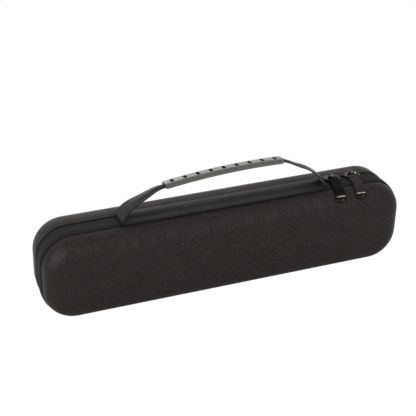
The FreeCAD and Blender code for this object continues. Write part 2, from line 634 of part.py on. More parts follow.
def pull_cap(label, hand):
    """Crimped cap closed over the ribbon's end, with bevelled edges."""
    cap_end = ribbon_end + math.radians(size("cap_angle"))
    solid = round_strip(size("cap_width"), size("cap_thickness"), ribbon_end, cap_end)
    item = doc.addObject("Part::Feature", label)
    item.Shape = solid.makeChamfer(size("cap_bevel"), solid.Edges)
    place_pull(item, hand, 0)
    subparts.append(item)


for side_name, hand in (("left", -1), ("right", 1)):
    pull_ring("pull_ring_" + side_name, hand)
    pull_ribbon("pull_ribbon_" + side_name, hand)
    pull_cap("pull_cap_" + side_name, hand)

# Check every object, then write one file for each sub-part

doc.recompute()
problems = [item.Label for item in doc.Objects if {"Invalid", "Error"} & set(item.State)]
for item in subparts:
    if item.Shape.isNull() or not item.Shape.isValid() or len(item.Shape.Solids) != 1:
        problems.append(item.Label)
if problems:
    raise RuntimeError("not sound: " + ", ".join(problems))
os.makedirs("parts", exist_ok=True)
for item in subparts:
    item.Shape.exportStep(os.path.join("parts", item.Label + ".step"))
    box = item.Shape.BoundBox
    print("%-20s %7.0f mm3  x %6.1f %6.1f  y %5.1f %5.1f  z %5.1f %5.1f" % (
        item.Label, item.Shape.Volume, box.XMin, box.XMax, box.YMin, box.YMax, box.ZMin, box.ZMax))
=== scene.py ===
import math

import bmesh
import bpy
import numpy as np
from mathutils import Matrix, Vector


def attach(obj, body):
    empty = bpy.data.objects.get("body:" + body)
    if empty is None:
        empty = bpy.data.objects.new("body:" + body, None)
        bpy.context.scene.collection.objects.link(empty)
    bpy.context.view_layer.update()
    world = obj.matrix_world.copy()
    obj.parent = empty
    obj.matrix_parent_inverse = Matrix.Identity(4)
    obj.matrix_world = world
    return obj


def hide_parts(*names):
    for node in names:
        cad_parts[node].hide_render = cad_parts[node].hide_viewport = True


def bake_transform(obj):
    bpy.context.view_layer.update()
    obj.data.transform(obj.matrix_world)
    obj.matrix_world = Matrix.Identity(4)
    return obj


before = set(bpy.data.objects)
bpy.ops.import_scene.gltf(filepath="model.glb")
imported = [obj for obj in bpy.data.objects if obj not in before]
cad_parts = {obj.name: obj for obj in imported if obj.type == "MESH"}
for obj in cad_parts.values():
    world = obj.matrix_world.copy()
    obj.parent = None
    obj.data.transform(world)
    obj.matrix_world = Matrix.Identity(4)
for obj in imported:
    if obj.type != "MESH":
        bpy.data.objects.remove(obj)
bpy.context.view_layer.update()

MM = 0.001


# Camera: stands in front of the case, a little to its left, and looks down on it.
# The long lens keeps the far end of the case nearly as tall as the near end.

CAMERA_PLACE = (-0.4285, -1.0120, 0.7283)
CAMERA_LENS = 100
CAMERA_AZIMUTH, CAMERA_DOWN, CAMERA_ROLL = -22.17, 30.27, -1.5

lens = bpy.data.cameras.new("photo_lens")
lens.lens = CAMERA_LENS
camera = bpy.data.objects.new("photo_camera", lens)
camera.matrix_world = (
    Matrix.Translation(CAMERA_PLACE)
    @ Matrix.Rotation(math.radians(CAMERA_AZIMUTH), 4, "Z")
    @ Matrix.Rotation(math.radians(90 - CAMERA_DOWN), 4, "X")
    @ Matrix.Rotation(math.radians(-CAMERA_ROLL), 4, "Z")
)
bpy.context.scene.collection.objects.link(camera)
bpy.context.scene.camera = camera
bpy.context.scene.view_settings.view_transform = "Standard"


# Table, backdrop and lamps: a white table that ends under the case's hinge, so that the lid
# has room to swing down past it, a room that is brightest behind the case, and soft lamps, two
# of which only add shine.

TABLE_REACH = 4.0
TABLE_EDGE = 0.005
TABLE_GREY = 0.86
TABLE_GLOW = 0.92
TABLE_WHITE = 1.1
ROOM_FRONT, ROOM_BACK, ROOM_TURN = 0.5, 1.15, 0.7
# place, point it shines at, width, height, brightness
LAMPS = {
    "lamp_back": ((-0.35, 1.4, 0.65), (0, 0, 0.05), 1.6, 0.9, 1.3),
    "lamp_front": ((0.0, -1.35, 1.4), (0, 0, 0.05), 1.2, 1.0, 1.1),
    "lamp_left": ((-1.45, -0.9, 0.32), (-0.15, 0, 0.05), 0.45, 0.45, 7.0),
    "lamp_spark": ((0.8, -0.8, 1.35), (0.15, 0, 0.1), 0.26, 0.26, 22.0),
    "shine_left": ((-1.38, -0.75, 0.75), (-0.15, 0, 0.05), 0.3, 0.35, 160.0),
    "shine_front": ((0.53, -1.41, 0.58), (0, 0, 0.08), 1.2, 0.3, 6.0),
}
SHINE_ONLY = ("shine_left", "shine_front")


def paint(red, green, blue):
    """A colour picked on a screen, in the shader's own scale."""
    return [((c / 255 + 0.055) / 1.055) ** 2.4 if c > 10 else c / 3300 for c in (red, green, blue)]


def node(finish, kind, sockets=None, **settings):
    """A new node in a finish. Its sockets take values or other nodes' outputs."""
    made = finish.node_tree.nodes.new("ShaderNode" + kind)
    for name, value in settings.items():
        setattr(made, name, value)
    for socket, value in (sockets or {}).items():
        if isinstance(value, bpy.types.NodeSocket):
            finish.node_tree.links.new(value, made.inputs[socket])
        else:
            made.inputs[socket].default_value = value
    return made


def feed(owner, value, target, socket):
    """Joins an output to a socket of a node that the finish or the room came with."""
    owner.node_tree.links.new(value, owner.node_tree.nodes[target].inputs[socket])


def white_seen(owner):
    """1 for rays that see the background straight, and 0 for rays that carry light."""
    path = node(owner, "LightPath")
    return node(owner, "Math", {0: path.outputs["Is Camera Ray"], 1: path.outputs["Is Transmission Ray"]},
                operation="MAXIMUM").outputs[0]


room = bpy.data.worlds.new("white_room")
room.use_nodes = True
bpy.context.scene.world = room
way_seen = node(room, "SeparateXYZ", {"Vector": node(room, "TexCoord").outputs["Generated"]})
lit_room = node(room, "MapRange", {"Value": way_seen.outputs["Y"], "From Max": ROOM_TURN,
                                   "To Min": ROOM_FRONT, "To Max": ROOM_BACK})
room_strength = node(room, "MapRange", {"Value": white_seen(room), "To Min": lit_room.outputs[0]})
room.node_tree.nodes["Background"].inputs["Color"].default_value = (1, 1, 1, 1)
feed(room, room_strength.outputs["Result"], "Background", "Strength")

table_corners = [(-TABLE_REACH, -TABLE_REACH, 0), (TABLE_REACH, -TABLE_REACH, 0),
                 (TABLE_REACH, TABLE_EDGE, 0), (-TABLE_REACH, TABLE_EDGE, 0)]
table_mesh = bpy.data.meshes.new("table")
table_mesh.from_pydata(table_corners, [], [(0, 1, 2, 3)])
table = bpy.data.objects.new("table", table_mesh)
bpy.context.scene.collection.objects.link(table)
table_paint = bpy.data.materials.new("table_paint")
table_paint.use_nodes = True
table_paint.node_tree.nodes.remove(table_paint.node_tree.nodes["Principled BSDF"])
matt = node(table_paint, "BsdfDiffuse", {"Color": (TABLE_GREY, TABLE_GREY, TABLE_GREY, 1)})
glow = node(table_paint, "Emission", {"Color": (1, 1, 1, 1), "Strength": TABLE_WHITE})
share = node(table_paint, "Math", {0: white_seen(table_paint), 1: TABLE_GLOW}, operation="MULTIPLY")
paints = node(table_paint, "MixShader", {0: share.outputs[0], 1: matt.outputs[0], 2: glow.outputs[0]})
feed(table_paint, paints.outputs[0], "Material Output", "Surface")
table.data.materials.append(table_paint)

for name, (place, aim, width, height, brightness) in LAMPS.items():
    bulb = bpy.data.lights.new(name, "AREA")
    bulb.shape = "RECTANGLE"
    bulb.size, bulb.size_y = width, height
    bulb.energy = brightness * math.pi * width * height
    lamp = bpy.data.objects.new(name, bulb)
    lamp.location = place
    lamp.rotation_mode = "QUATERNION"
    lamp.rotation_quaternion = (Vector(aim) - Vector(place)).to_track_quat("-Z", "Y")
    lamp.visible_camera = False
    lamp.visible_diffuse = name not in SHINE_ONLY
    bpy.context.scene.collection.objects.link(lamp)


# Front shell: foam pressed to a tray in a hot mould, with woven cloth laid on outside and
# brushed lining inside. The cloth's upright threads show as fine ribs where it goes over edges.

CASE_LENGTH, CASE_HEIGHT, CASE_CORNER = 420 * MM, 99 * MM, 36 * MM
ZIP_Y = 3 * MM
SHELL_DRAFT = math.radians(3)
SHELL_EDGE, SHELL_WALL, SHELL_CROWN = 19 * MM, 4.5 * MM, 0.7 * MM
RIM_INSET, LIP = 1 * MM, 1.3 * MM
FRONT_RIM, FRONT_DEPTH = 21 * MM, 41 * MM
RUN_STEP = 4.2 * MM
HALF_BASE = CASE_LENGTH / 2 - CASE_CORNER
HALF_SIDE = CASE_HEIGHT / 2 - CASE_CORNER
FLOOR_REACH = CASE_LENGTH / 2 - CASE_HEIGHT / 2
TURN = CASE_CORNER * math.pi / 2
AROUND = 4 * (HALF_BASE + HALF_SIDE + TURN)
ROUND_TURNS = [math.radians(turn) for turn in (30, 60, 90)]
# how far up the cloth faces where its threads part most, and how far from there they part at all
PARTED_FACING, PARTED_SPREAD = 0.45, 0.4


def edge_at(run):
    """Point and outward direction on the case's outline, a run along it from the middle of the base."""
    run %= AROUND
    x, z, heading = 0.0, 0.0, 0.0
    for straight in (HALF_BASE, 2 * HALF_SIDE, 2 * HALF_BASE, 2 * HALF_SIDE, HALF_BASE):
        part = min(run, straight)
        turned = heading + min(max(run - straight, 0.0), TURN) / CASE_CORNER
        x += math.cos(heading) * part + (math.sin(turned) - math.sin(heading)) * CASE_CORNER
        z += math.sin(heading) * part - (math.cos(turned) - math.cos(heading)) * CASE_CORNER
        heading = turned
        run -= straight + TURN
        if run <= 0:
            break
    return x, z, math.sin(heading), -math.cos(heading)


def skin(name, rows, places, finishes, loop=False, tube=False, capped=False, choose=None):
    """A mesh of quads over rows of points, with a cloth map in metres.

    loop joins the last row to the first, and tube the last point of each row to its first.
    """
    along, across = len(rows), len(rows[0])
    faces, maps, kinds = [], [], []
    for i in range(along if loop else along - 1):
        for j in range(across if tube else across - 1):
            corners = [(i, j), (i, j + 1), (i + 1, j + 1), (i + 1, j)]
            faces.append([(a % along) * across + b % across for a, b in corners])
            maps += [places[a][b] for a, b in corners]
            kinds.append(choose(i, j) if choose else 0)
    if capped:
        for i in (0, along - 1):
            faces.append([i * across + j for j in range(across)])
            maps += [places[i][j] for j in range(across)]
            kinds.append(0)
    mesh = bpy.data.meshes.new(name)
    mesh.from_pydata([tuple(point) for row in rows for point in row], [], faces)
    mesh.uv_layers.new(name="cloth")
    mesh.uv_layers["cloth"].uv.foreach_set("vector", np.array(maps, float)[:, :2].ravel())
    mesh.polygons.foreach_set("material_index", kinds)
    return dress(name, mesh, finishes)


def dress(name, mesh, finishes, weld=1e-6, sharp=40):
    """An object from a mesh, welded, smooth but for sharp edges, in its finishes."""
    work = bmesh.new()
    work.from_mesh(mesh)
    bmesh.ops.remove_doubles(work, verts=work.verts, dist=weld)
    bmesh.ops.recalc_face_normals(work, faces=work.faces)
    work.to_mesh(mesh)
    work.free()
    mesh.shade_smooth()
    mesh.set_sharp_from_angle(angle=math.radians(sharp))
    for finish in finishes:
        mesh.materials.append(finish)
    made = bpy.data.objects.new(name, mesh)
    bpy.context.scene.collection.objects.link(made)
    return made


def new_finish(name, colour, roughness, shine=0.5, fuzz=(0.0, 0.5), metal=0.0):
    """A finish with one Principled shader. fuzz is the weight and roughness of its sheen."""
    finish = bpy.data.materials.new(name)
    finish.use_nodes = True
    values = {"Base Color": (*paint(*colour), 1), "Roughness": roughness, "Specular IOR Level": shine,
              "Sheen Weight": fuzz[0], "Sheen Roughness": fuzz[1], "Metallic": metal}
    for socket, value in values.items():
        finish.node_tree.nodes["Principled BSDF"].inputs[socket].default_value = value
    return finish


def math_of(finish, operation, first, second=0.0, third=0.0):
    """One step of arithmetic on values or node outputs."""
    return node(finish, "Math", {0: first, 1: second, 2: third}, operation=operation).outputs[0]


def mixed(finish, *parts, base=0.0):
    """A base with each (value, weight) part added to it."""
    for value, weight in parts:
        base = math_of(finish, "MULTIPLY_ADD", value, weight, base)
    return base


def mapped_noise(finish, source, scale, detail=2.0, roughness=0.5):
    """Noise on a map or on object coordinates, stretched by a scale for each axis."""
    mapping = node(finish, "Mapping", {"Vector": source, "Scale": scale})
    return node(finish, "TexNoise", {"Vector": mapping.outputs[0], "Scale": 1.0, "Detail": detail,
                                     "Roughness": roughness}).outputs["Fac"]


def mottle(finish, scale, detail=2.0, roughness=0.5):
    """Noise on the object's own coordinates."""
    return mapped_noise(finish, node(finish, "TexCoord").outputs["Object"], scale, detail, roughness)


def facing_up(finish):
    """How far the surface faces up, from -1 to 1."""
    return node(finish, "SeparateXYZ", {"Vector": node(finish, "TexCoord").outputs["Normal"]}).outputs["Z"]


def tone(finish, value, dark, light, low, high):
    """Sends a value to the colour of the shader, between a dark and a light tone."""
    ramp = node(finish, "ValToRGB", {"Fac": value})
    for stop, place, colour in zip(ramp.color_ramp.elements, (low, high), (dark, light)):
        stop.position = place
        stop.color = (*paint(*colour), 1)
    feed(finish, ramp.outputs["Color"], "Principled BSDF", "Base Color")


def relief(finish, height, depth):
    """Bump of a real depth in metres."""
    bump = node(finish, "Bump", {"Height": height, "Distance": depth, "Strength": 1.0})
    feed(finish, bump.outputs["Normal"], "Principled BSDF", "Normal")


def cloth_map(finish):
    """A finish's cloth map, whole and as its two measures."""
    place = node(finish, "UVMap", uv_map="cloth").outputs["UV"]
    split = node(finish, "SeparateXYZ", {"Vector": place})
    return place, split.outputs["X"], split.outputs["Y"]


def wave(finish, value, length):
    """A sine wave of a length in metres."""
    return math_of(finish, "SINE", math_of(finish, "MULTIPLY", value, 2 * math.pi / length))


def weave(finish, across, along, pitch_across, pitch_along):
    """Height of a plain weave: threads pass over and under by turns."""
    waves = wave(finish, across, 2 * pitch_across), wave(finish, along, 2 * pitch_along)
    return mixed(finish, (math_of(finish, "MULTIPLY", *waves), 0.5), base=0.5)


def woven(name, dark, light, roughness, pitch, ribs, depth, stretched=0.0, **looks):
    """Woven cloth: a plain weave, uneven threads both ways, and slow changes of tone.

    stretched is how much the upright threads part where the cloth is pulled over a round edge.
    """
    finish = new_finish(name, light, roughness, **looks)
    place, across, along = cloth_map(finish)
    crossing = weave(finish, across, along, pitch * MM, pitch * MM)
    fine, coarse = ribs
    upright = mapped_noise(finish, place, (fine, coarse, 1))
    level = mapped_noise(finish, place, (coarse, fine, 1))
    slow = mapped_noise(finish, place, (34, 41, 1), 3.0)
    threads = mixed(finish, (level, 0.34), (upright, 0.34), (slow, 0.14), (crossing, 0.16))
    off_edge = math_of(finish, "ABSOLUTE", math_of(finish, "SUBTRACT", facing_up(finish), PARTED_FACING))
    pulled = node(finish, "MapRange", {"Value": off_edge, "From Max": PARTED_SPREAD,
                                       "To Min": stretched, "To Max": 0.0})
    parted = math_of(finish, "SUBTRACT", mapped_noise(finish, place, (620, 14, 1), 1.0), 0.5)
    tone(finish, mixed(finish, (parted, pulled.outputs["Result"]), base=threads), dark, light, 0.34, 0.66)
    relief(finish, mixed(finish, (upright, 0.9), base=crossing), depth * MM)
    return finish


def tray_line(rim, depth, rim_inset, edge, crown=0.0):
    """The section of a tray from the middle of its floor to its rim.

    Each item is (share to the floor's middle, inset, depth from the zip, cloth past the floor).
    """
    floor_steps, edge_steps = 7, 9
    edge_depth = depth - edge
    edge_inset = rim_inset + (edge_depth - rim) * math.tan(SHELL_DRAFT) + edge / math.cos(SHELL_DRAFT)
    line = []
    for step in range(floor_steps, 0, -1):
        part = step / floor_steps
        line.append((part, edge_inset, depth + crown * (1 - (1 - part) ** 2), 0.0))
    for step in range(edge_steps + 1):
        turn = (math.pi / 2 - SHELL_DRAFT) * step / edge_steps
        line.append((0.0, edge_inset - edge * math.sin(turn), edge_depth + edge * math.cos(turn), edge * turn))
    line.append((0.0, rim_inset, rim, edge * turn + edge_depth - rim))
    return line


def tray_rows(side, section):
    """Rows of points and of cloth places round the case for a tray's section."""
    stations = round(AROUND / RUN_STEP)
    rows, places = [], []
    for number in range(stations + 1):
        x, z, nx, nz = edge_at(AROUND * number / stations)
        row, place = [], []
        for part, inset, depth, fall in section:
            px, pz = x - nx * inset, z - nz * inset
            px += (max(-FLOOR_REACH, min(FLOOR_REACH, px)) - px) * part
            pz += (CASE_HEIGHT / 2 - pz) * part
            row.append((px, ZIP_Y + side * depth, pz))
            place.append((px + nx * fall, pz + nz * fall))
        rows.append(row)
        places.append(place)
    return rows[:-1], places


def shell_cover(name, side, rim, depth):
    """The whole tray: cloth outside, a rounded rim, and lining inside."""
    outside = tray_line(rim, depth, RIM_INSET, SHELL_EDGE, SHELL_CROWN)
    inside = tray_line(rim, depth - SHELL_WALL, RIM_INSET + SHELL_WALL, SHELL_EDGE - SHELL_WALL)
    fall = outside.pop()[3] - LIP
    outside.append((0.0, RIM_INSET, rim + LIP, fall))
    for turn in ROUND_TURNS:
        outside.append((0.0, RIM_INSET + LIP * (1 - math.cos(turn)), rim + LIP * (1 - math.sin(turn)),
                        fall + LIP * turn))
    rows, places = tray_rows(side, outside + inside[::-1])
    return skin(name, rows, places, [shell_cloth, lining_cloth], loop=True,
                choose=lambda i, j: int(j >= len(outside)))


shell_cloth = woven("shell_cloth", (32, 28, 27), (61, 55, 53), 0.4, 0.62, (560, 210), 0.08, 0.45,
                    shine=0.055, fuzz=(0.03, 0.35))
lining_cloth = new_finish("brushed_lining", (52, 52, 54), 0.95, fuzz=(0.35, 0.5))
nap = mottle(lining_cloth, (1400, 1400, 1400), 3.0, 0.7)
nap_shade = mottle(lining_cloth, (60, 60, 60))
tone(lining_cloth, mixed(lining_cloth, (nap_shade, 0.4), (nap, 0.6)), (38, 38, 40), (66, 66, 69), 0.35, 0.65)
relief(lining_cloth, nap, 0.2 * MM)

front_shell_cover = shell_cover("front_shell_cover", -1, FRONT_RIM, FRONT_DEPTH)
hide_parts("front_shell")
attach(front_shell_cover, "case_front")


# Band of the front half: a strip of dense cloth folded in at both edges and sewn to the shell
# at the crease and to the zip tape at its other edge, where a row of stitches shows.

BAND_NEAR, BAND_FAR, BAND_THICK = 8 * MM, 20.65 * MM, 2 * MM
BAND_ROUND, BAND_PUFF = 0.9 * MM, 0.25 * MM
NEAR_SEAM, FAR_SEAM, DIP_HALF = 10.2 * MM, 18.4 * MM, 0.7 * MM
STITCH_LENGTH, STITCH_GAP, THREAD = 2.6 * MM, 0.9 * MM, 0.42 * MM
LINE_STEP, UNDER_EDGE = 1.2 * MM, 0.1 * MM


def strip_section(near, far, top, thick, rounding, dips=(), puff=0.0):
    """A flat strip's closed section as (inset, depth), with round edges and sewn-in dips."""
    points = []
    steps = 14
    for step in range(steps + 1):
        depth = near + rounding + (far - near - 2 * rounding) * step / steps
        inset = top - puff * math.sin(math.pi * step / steps)
        for place, sink in dips:
            inset += sink * math.exp(-(((depth - place) / DIP_HALF) ** 2))
        points.append((inset, depth))
    corner = [(top + rounding * (1 - math.cos(turn)), rounding * (1 - math.sin(turn))) for turn in ROUND_TURNS]
    points += [(inset, far - in_edge) for inset, in_edge in corner]
    points += [(top + thick, far - UNDER_EDGE), (top + thick, near + UNDER_EDGE)]
    return points + [(inset, near + in_edge) for inset, in_edge in corner[::-1]]


def sweep_round(name, side, section, finish, start=0.0, end=AROUND, step=RUN_STEP):
    """Sweeps a closed section round the case, all the way or from one run to another."""
    whole = end == AROUND
    stations = round((end - start) / step)
    widths = [0.0]
    for first, second in zip(section, section[1:] + section[:1]):
        widths.append(widths[-1] + math.dist(first, second))
    rows, places = [], []
    for number in range(stations + 1):
        run = start + (end - start) * number / stations
        x, z, nx, nz = edge_at(run)
        rows.append([(x - nx * inset, ZIP_Y + side * depth, z - nz * inset) for inset, depth in section])
        places.append([(width, run) for width in widths])
    return skin(name, rows[:-1] if whole else rows, places, [finish], loop=whole, tube=True, capped=not whole)


def circle(centre, first, second, radius, sides):
    """Points round a centre, in the plane of two directions."""
    turns = [2 * math.pi * k / sides for k in range(sides)]
    return [centre + (first * math.cos(turn) + second * math.sin(turn)) * radius for turn in turns]


def tubes(name, threads, finish, sharp=40):
    """One mesh of many short or long threads, each given by its rings of points."""
    points, faces = [], []
    for rings in threads:
        base, sides = len(points), len(rings[0])
        points += [tuple(point) for ring in rings for point in ring]
        end = len(points)
        for low in range(base, end - sides, sides):
            faces += [[low + k, low + (k + 1) % sides, low + sides + (k + 1) % sides, low + sides + k]
                      for k in range(sides)]
        faces += [list(range(base, base + sides)), list(range(end - sides, end))[::-1]]
    mesh = bpy.data.meshes.new(name)
    mesh.from_pydata(points, [], faces)
    return dress(name, mesh, [finish], weld=0, sharp=sharp)


def unit(ways):
    """Directions, one or a row for each, with their lengths made 1."""
    return ways / np.linalg.norm(ways, axis=-1, keepdims=True)


def value_at(run, runs, values):
    """A point or a direction on a line, at a run along it."""
    return np.array([np.interp(run, runs, values[:, axis]) for axis in range(3)])


def stitches(name, lines, length=STITCH_LENGTH, gap=STITCH_GAP, thick=THREAD):
    """Raised stitches along lines of (point, outward direction); both ends dip into the cloth."""
    rings = ((-0.5, 0.25, -0.7), (-0.36, 0.8, -0.1), (0.0, 1.0, 0.15), (0.36, 0.8, -0.1), (0.5, 0.25, -0.7))
    threads = []
    for line in lines:
        spots, ways = (np.array([item[k] for item in line], float) for k in (0, 1))
        runs = np.concatenate([[0], np.cumsum(np.linalg.norm(np.diff(spots, axis=0), axis=1))])
        count = int(runs[-1] // (length + gap))
        for number in range(count):
            middle = (number + 0.5) * runs[-1] / count
            start, end = (value_at(middle + shift, runs, spots) for shift in (-length / 2, length / 2))
            out, along = unit(value_at(middle, runs, ways)), unit(end - start)
            threads.append([
                circle((start + end) / 2 + along * share_along * length + out * rise * thick / 2,
                       np.cross(along, out), out, swell * thick / 2, 6) for share_along, swell, rise in rings])
    return tubes(name, threads, dark_thread)


def line_round(side, inset, depth, start=0.0, end=AROUND):
    """A line round the case at an inset and depth, with its outward directions."""
    line = []
    count = round((end - start) / LINE_STEP)
    for number in range(count + 1):
        x, z, nx, nz = edge_at(start + (end - start) * number / count)
        line.append(((x - nx * inset, ZIP_Y + side * depth, z - nz * inset), (nx, 0, nz)))
    return line


def grained(name, colour, roughness, scale, detail, dark, light, low=0.35, high=0.65, depth=0.0, **looks):
    """A finish whose tone, and whose relief if it has a depth, follow one fine grain."""
    finish = new_finish(name, colour, roughness, **looks)
    grain = mottle(finish, scale, detail)
    tone(finish, grain, dark, light, low, high)
    if depth:
        relief(finish, grain, depth * MM)
    return finish


def thread_finish(name, dark, light):
    """Twisted polyester thread: fine slanting plies and a soft shine."""
    return grained(name, light, 0.55, (4200, 3600, 4200), 1.0, dark, light, depth=0.05, shine=0.15,
                   fuzz=(0.1, 0.5))


band_cloth = woven("band_cloth", (24, 23, 22), (44, 43, 41), 0.7, 0.55, (950, 90), 0.14,
                   shine=0.05, fuzz=(0.02, 0.35))
dark_thread = thread_finish("dark_thread", (30, 30, 29), (58, 58, 56))

band_section = strip_section(BAND_NEAR, BAND_FAR, 0, BAND_THICK, BAND_ROUND,
                             [(NEAR_SEAM, 0.3 * MM), (FAR_SEAM, 0.18 * MM)], BAND_PUFF)
front_band = sweep_round("front_band", -1, band_section, band_cloth)
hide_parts("front_gusset")
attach(front_band, "case_front")
front_band_stitches = stitches("front_band_stitches", [line_round(-1, 0.18 * MM, NEAR_SEAM)])
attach(front_band_stitches, "case_front")


# Front and back seam bindings: ribbed tape folded over the raw seam inside each half and sewn
# through along its middle. They are seen only when the case is open.

BINDING_THICK, BINDING_ROUND = 0.9 * MM, 0.4 * MM


def ribbed(name, dark, light, pitch, roughness=0.65, depth=0.2, painted_edge_shade=0.0, **looks):
    """Narrow ribbed tape: close ribs across it, and, if asked, its first edge painted dark as shade where it
    dips.
    """
    finish = new_finish(name, light, roughness, **looks)
    place, across, along = cloth_map(finish)
    rib = wave(finish, along, pitch * MM)
    wear = mapped_noise(finish, place, (500, 120, 1), 3.0)
    height = mixed(finish, (wear, 0.8), (rib, 0.3))
    # painted shade: the tone falls to the dark colour towards the first edge
    if painted_edge_shade:
        edge_shade_mask = node(finish, "MapRange", {"Value": across, "From Max": painted_edge_shade})
        height = math_of(finish, "MULTIPLY", height, edge_shade_mask.outputs[0])
    tone(finish, height, dark, light, 0.1, 0.75)
    relief(finish, mixed(finish, (rib, 0.5), base=wear), depth * MM)
    return finish


binding_tape = ribbed("binding_tape", (26, 26, 27), (48, 48, 49), 0.9, shine=0.1, fuzz=(0.1, 0.5))
for name, cad_name, body, side, near, far, top in (
        ("front_seam_binding", "front_binding", "case_front", -1, 9 * MM, 21 * MM, 2.05 * MM),
        ("back_seam_binding", "back_binding", "lid", 1, 3.6 * MM, 6 * MM, 1.45 * MM)):
    binding = sweep_round(name, side, strip_section(near, far, top, BINDING_THICK, BINDING_ROUND), binding_tape)
    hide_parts(cad_name)
    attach(binding, body)


# Zip tapes: two woven tapes with raised cords along them, sewn in face down, so that the coils
# are hidden below and only a narrow slit shows between the tapes' folded edges.

SLIT_HALF, TAPE_TOP, TAPE_THICK = 0.75 * MM, 0.6 * MM, 0.8 * MM
FOLD_HIGH, FOLD_WIDE, TAPE_STEP = 0.8 * MM, 1.1 * MM, 0.35 * MM
CORD_FIRST, CORD_SPACE, CORD_DEEP = 1.4 * MM, 1.9 * MM, 0.24 * MM
HINGE_HALF, HINGE_GAP = 164 * MM, 0.2 * MM
TAPE_START = HINGE_HALF + HINGE_GAP
TAPE_STOP = AROUND - TAPE_START


def tape_section(far):
    """A tape's section: a folded edge at the slit, then low cords and grooves along it."""
    points = [(TAPE_TOP + 0.78 * MM, SLIT_HALF)]
    steps = round((far - SLIT_HALF) / TAPE_STEP)
    for step in range(1, steps):
        past = (far - SLIT_HALF) * step / steps
        groove = max(0.0, math.cos(2 * math.pi * (past - CORD_FIRST) / CORD_SPACE)) ** 3
        roll = FOLD_HIGH * math.exp(-(past / FOLD_WIDE) ** 2)
        points.append((TAPE_TOP + max(roll, CORD_DEEP * groove), SLIT_HALF + past))
    base = TAPE_TOP + TAPE_THICK
    return points + [(TAPE_TOP + 0.05 * MM, far), (base, far), (base, SLIT_HALF)]


# each tape's dark colour is also the shade painted along its slit edge
front_tape_cloth = ribbed("front_tape_cloth", (8, 8, 8), (50, 49, 46), 0.62, 0.6, 0.12, 2 * MM,
                          shine=0.06, fuzz=(0.02, 0.35))
back_tape_cloth = ribbed("back_tape_cloth", (10, 10, 9), (66, 64, 59), 0.62, 0.6, 0.12, 2 * MM,
                         shine=0.08, fuzz=(0.04, 0.35))
for name, cad_name, body, side, far, cloth in (
        ("front_tape", "front_zip_tape", "case_front", -1, 8 * MM, front_tape_cloth),
        ("back_tape", "back_zip_tape", "lid", 1, 6 * MM, back_tape_cloth)):
    tape = sweep_round(name, side, tape_section(far), cloth, TAPE_START, TAPE_STOP, 3 * MM)
    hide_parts(cad_name)
    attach(tape, body)
tape_line = line_round(1, TAPE_TOP + 0.1 * MM, 4.6 * MM, TAPE_START, TAPE_STOP)
tape_stitches = stitches("back_tape_stitches", [tape_line])
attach(tape_stitches, "lid")


# Zip coils: two springs of nylon wire, each wound round a cord and sewn under its tape. Their
# turns reach past the slit's middle by turns, and part where the sliders' necks run between them.

COIL_PITCH, COIL_WIRE = 1.5 * MM, 0.62 * MM
COIL_HIGH, COIL_REACH, COIL_FAR = 1.9 * MM, -0.45 * MM, 3.2 * MM
OPEN_FROM, OPEN_TO, OPEN_EASE, OPEN_BY = 136 * MM, 162 * MM, 4 * MM, 1.1 * MM


def opened(x, z):
    """How far a spring stands back from the slit: the zip is open between its two sliders."""
    share = 1 + min(x - OPEN_FROM, OPEN_TO - x) / OPEN_EASE
    return OPEN_BY * min(1.0, max(0.0, share)) if z > CASE_HEIGHT / 2 else 0.0


def coil(name, side, phase):
    """One spring of the zip, wound round a line that goes round the case."""
    per_turn, sides = 8, 5
    half_wide = (COIL_FAR - COIL_REACH - COIL_WIRE) / 2
    half_high = (COIL_HIGH - COIL_WIRE) / 2
    centres, outs = [], []
    for number in range(int((TAPE_STOP - TAPE_START) / COIL_PITCH) * per_turn):
        turns = number / per_turn
        x, z, nx, nz = edge_at(TAPE_START + COIL_PITCH * (turns + 0.5))
        angle = 2 * math.pi * (turns + phase)
        inset = TAPE_TOP + TAPE_THICK + COIL_HIGH / 2 + half_high * math.sin(angle)
        depth = (COIL_REACH + COIL_FAR) / 2 - half_wide * math.cos(angle) + opened(x, z)
        centres.append((x - nx * inset, ZIP_Y + side * depth, z - nz * inset))
        outs.append((-nx * math.sin(angle), -side * math.cos(angle), -nz * math.sin(angle)))
    centres, outs = np.array(centres), np.array(outs)
    ways = unit(np.gradient(centres, axis=0))
    outs = unit(outs - (outs * ways).sum(1)[:, None] * ways)
    rows = [circle(*spot, COIL_WIRE / 2, sides) for spot in zip(centres, outs, np.cross(ways, outs))]
    places = [[(k / sides, i / per_turn) for k in range(sides + 1)] for i in range(len(rows))]
    return skin(name, rows, places, [coil_nylon], tube=True, capped=True)


coil_nylon = grained("coil_nylon", (24, 24, 25), 0.35, (900, 900, 900), 2.0, (16, 16, 17), (34, 34, 35),
                     depth=0.03)
for name, cad_name, body, side, phase in (
        ("front_coil", "front_zip_coil", "case_front", -1, 0.0), ("back_coil", "back_zip_coil", "lid", 1, 0.5)):
    spring = coil(name, side, phase)
    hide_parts(cad_name)
    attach(spring, body)


# Base hinge: one strip of band cloth along the base, sewn to both halves where the zip stops.

HINGE_NEAR, HINGE_FAR, HINGE_LOW, HINGE_THICK = -5 * MM, 9 * MM, 0.05 * MM, 1.3 * MM
HINGE_STEPS, HINGE_THIN, HINGE_SEAM = 28, 0.35 * MM, 162 * MM

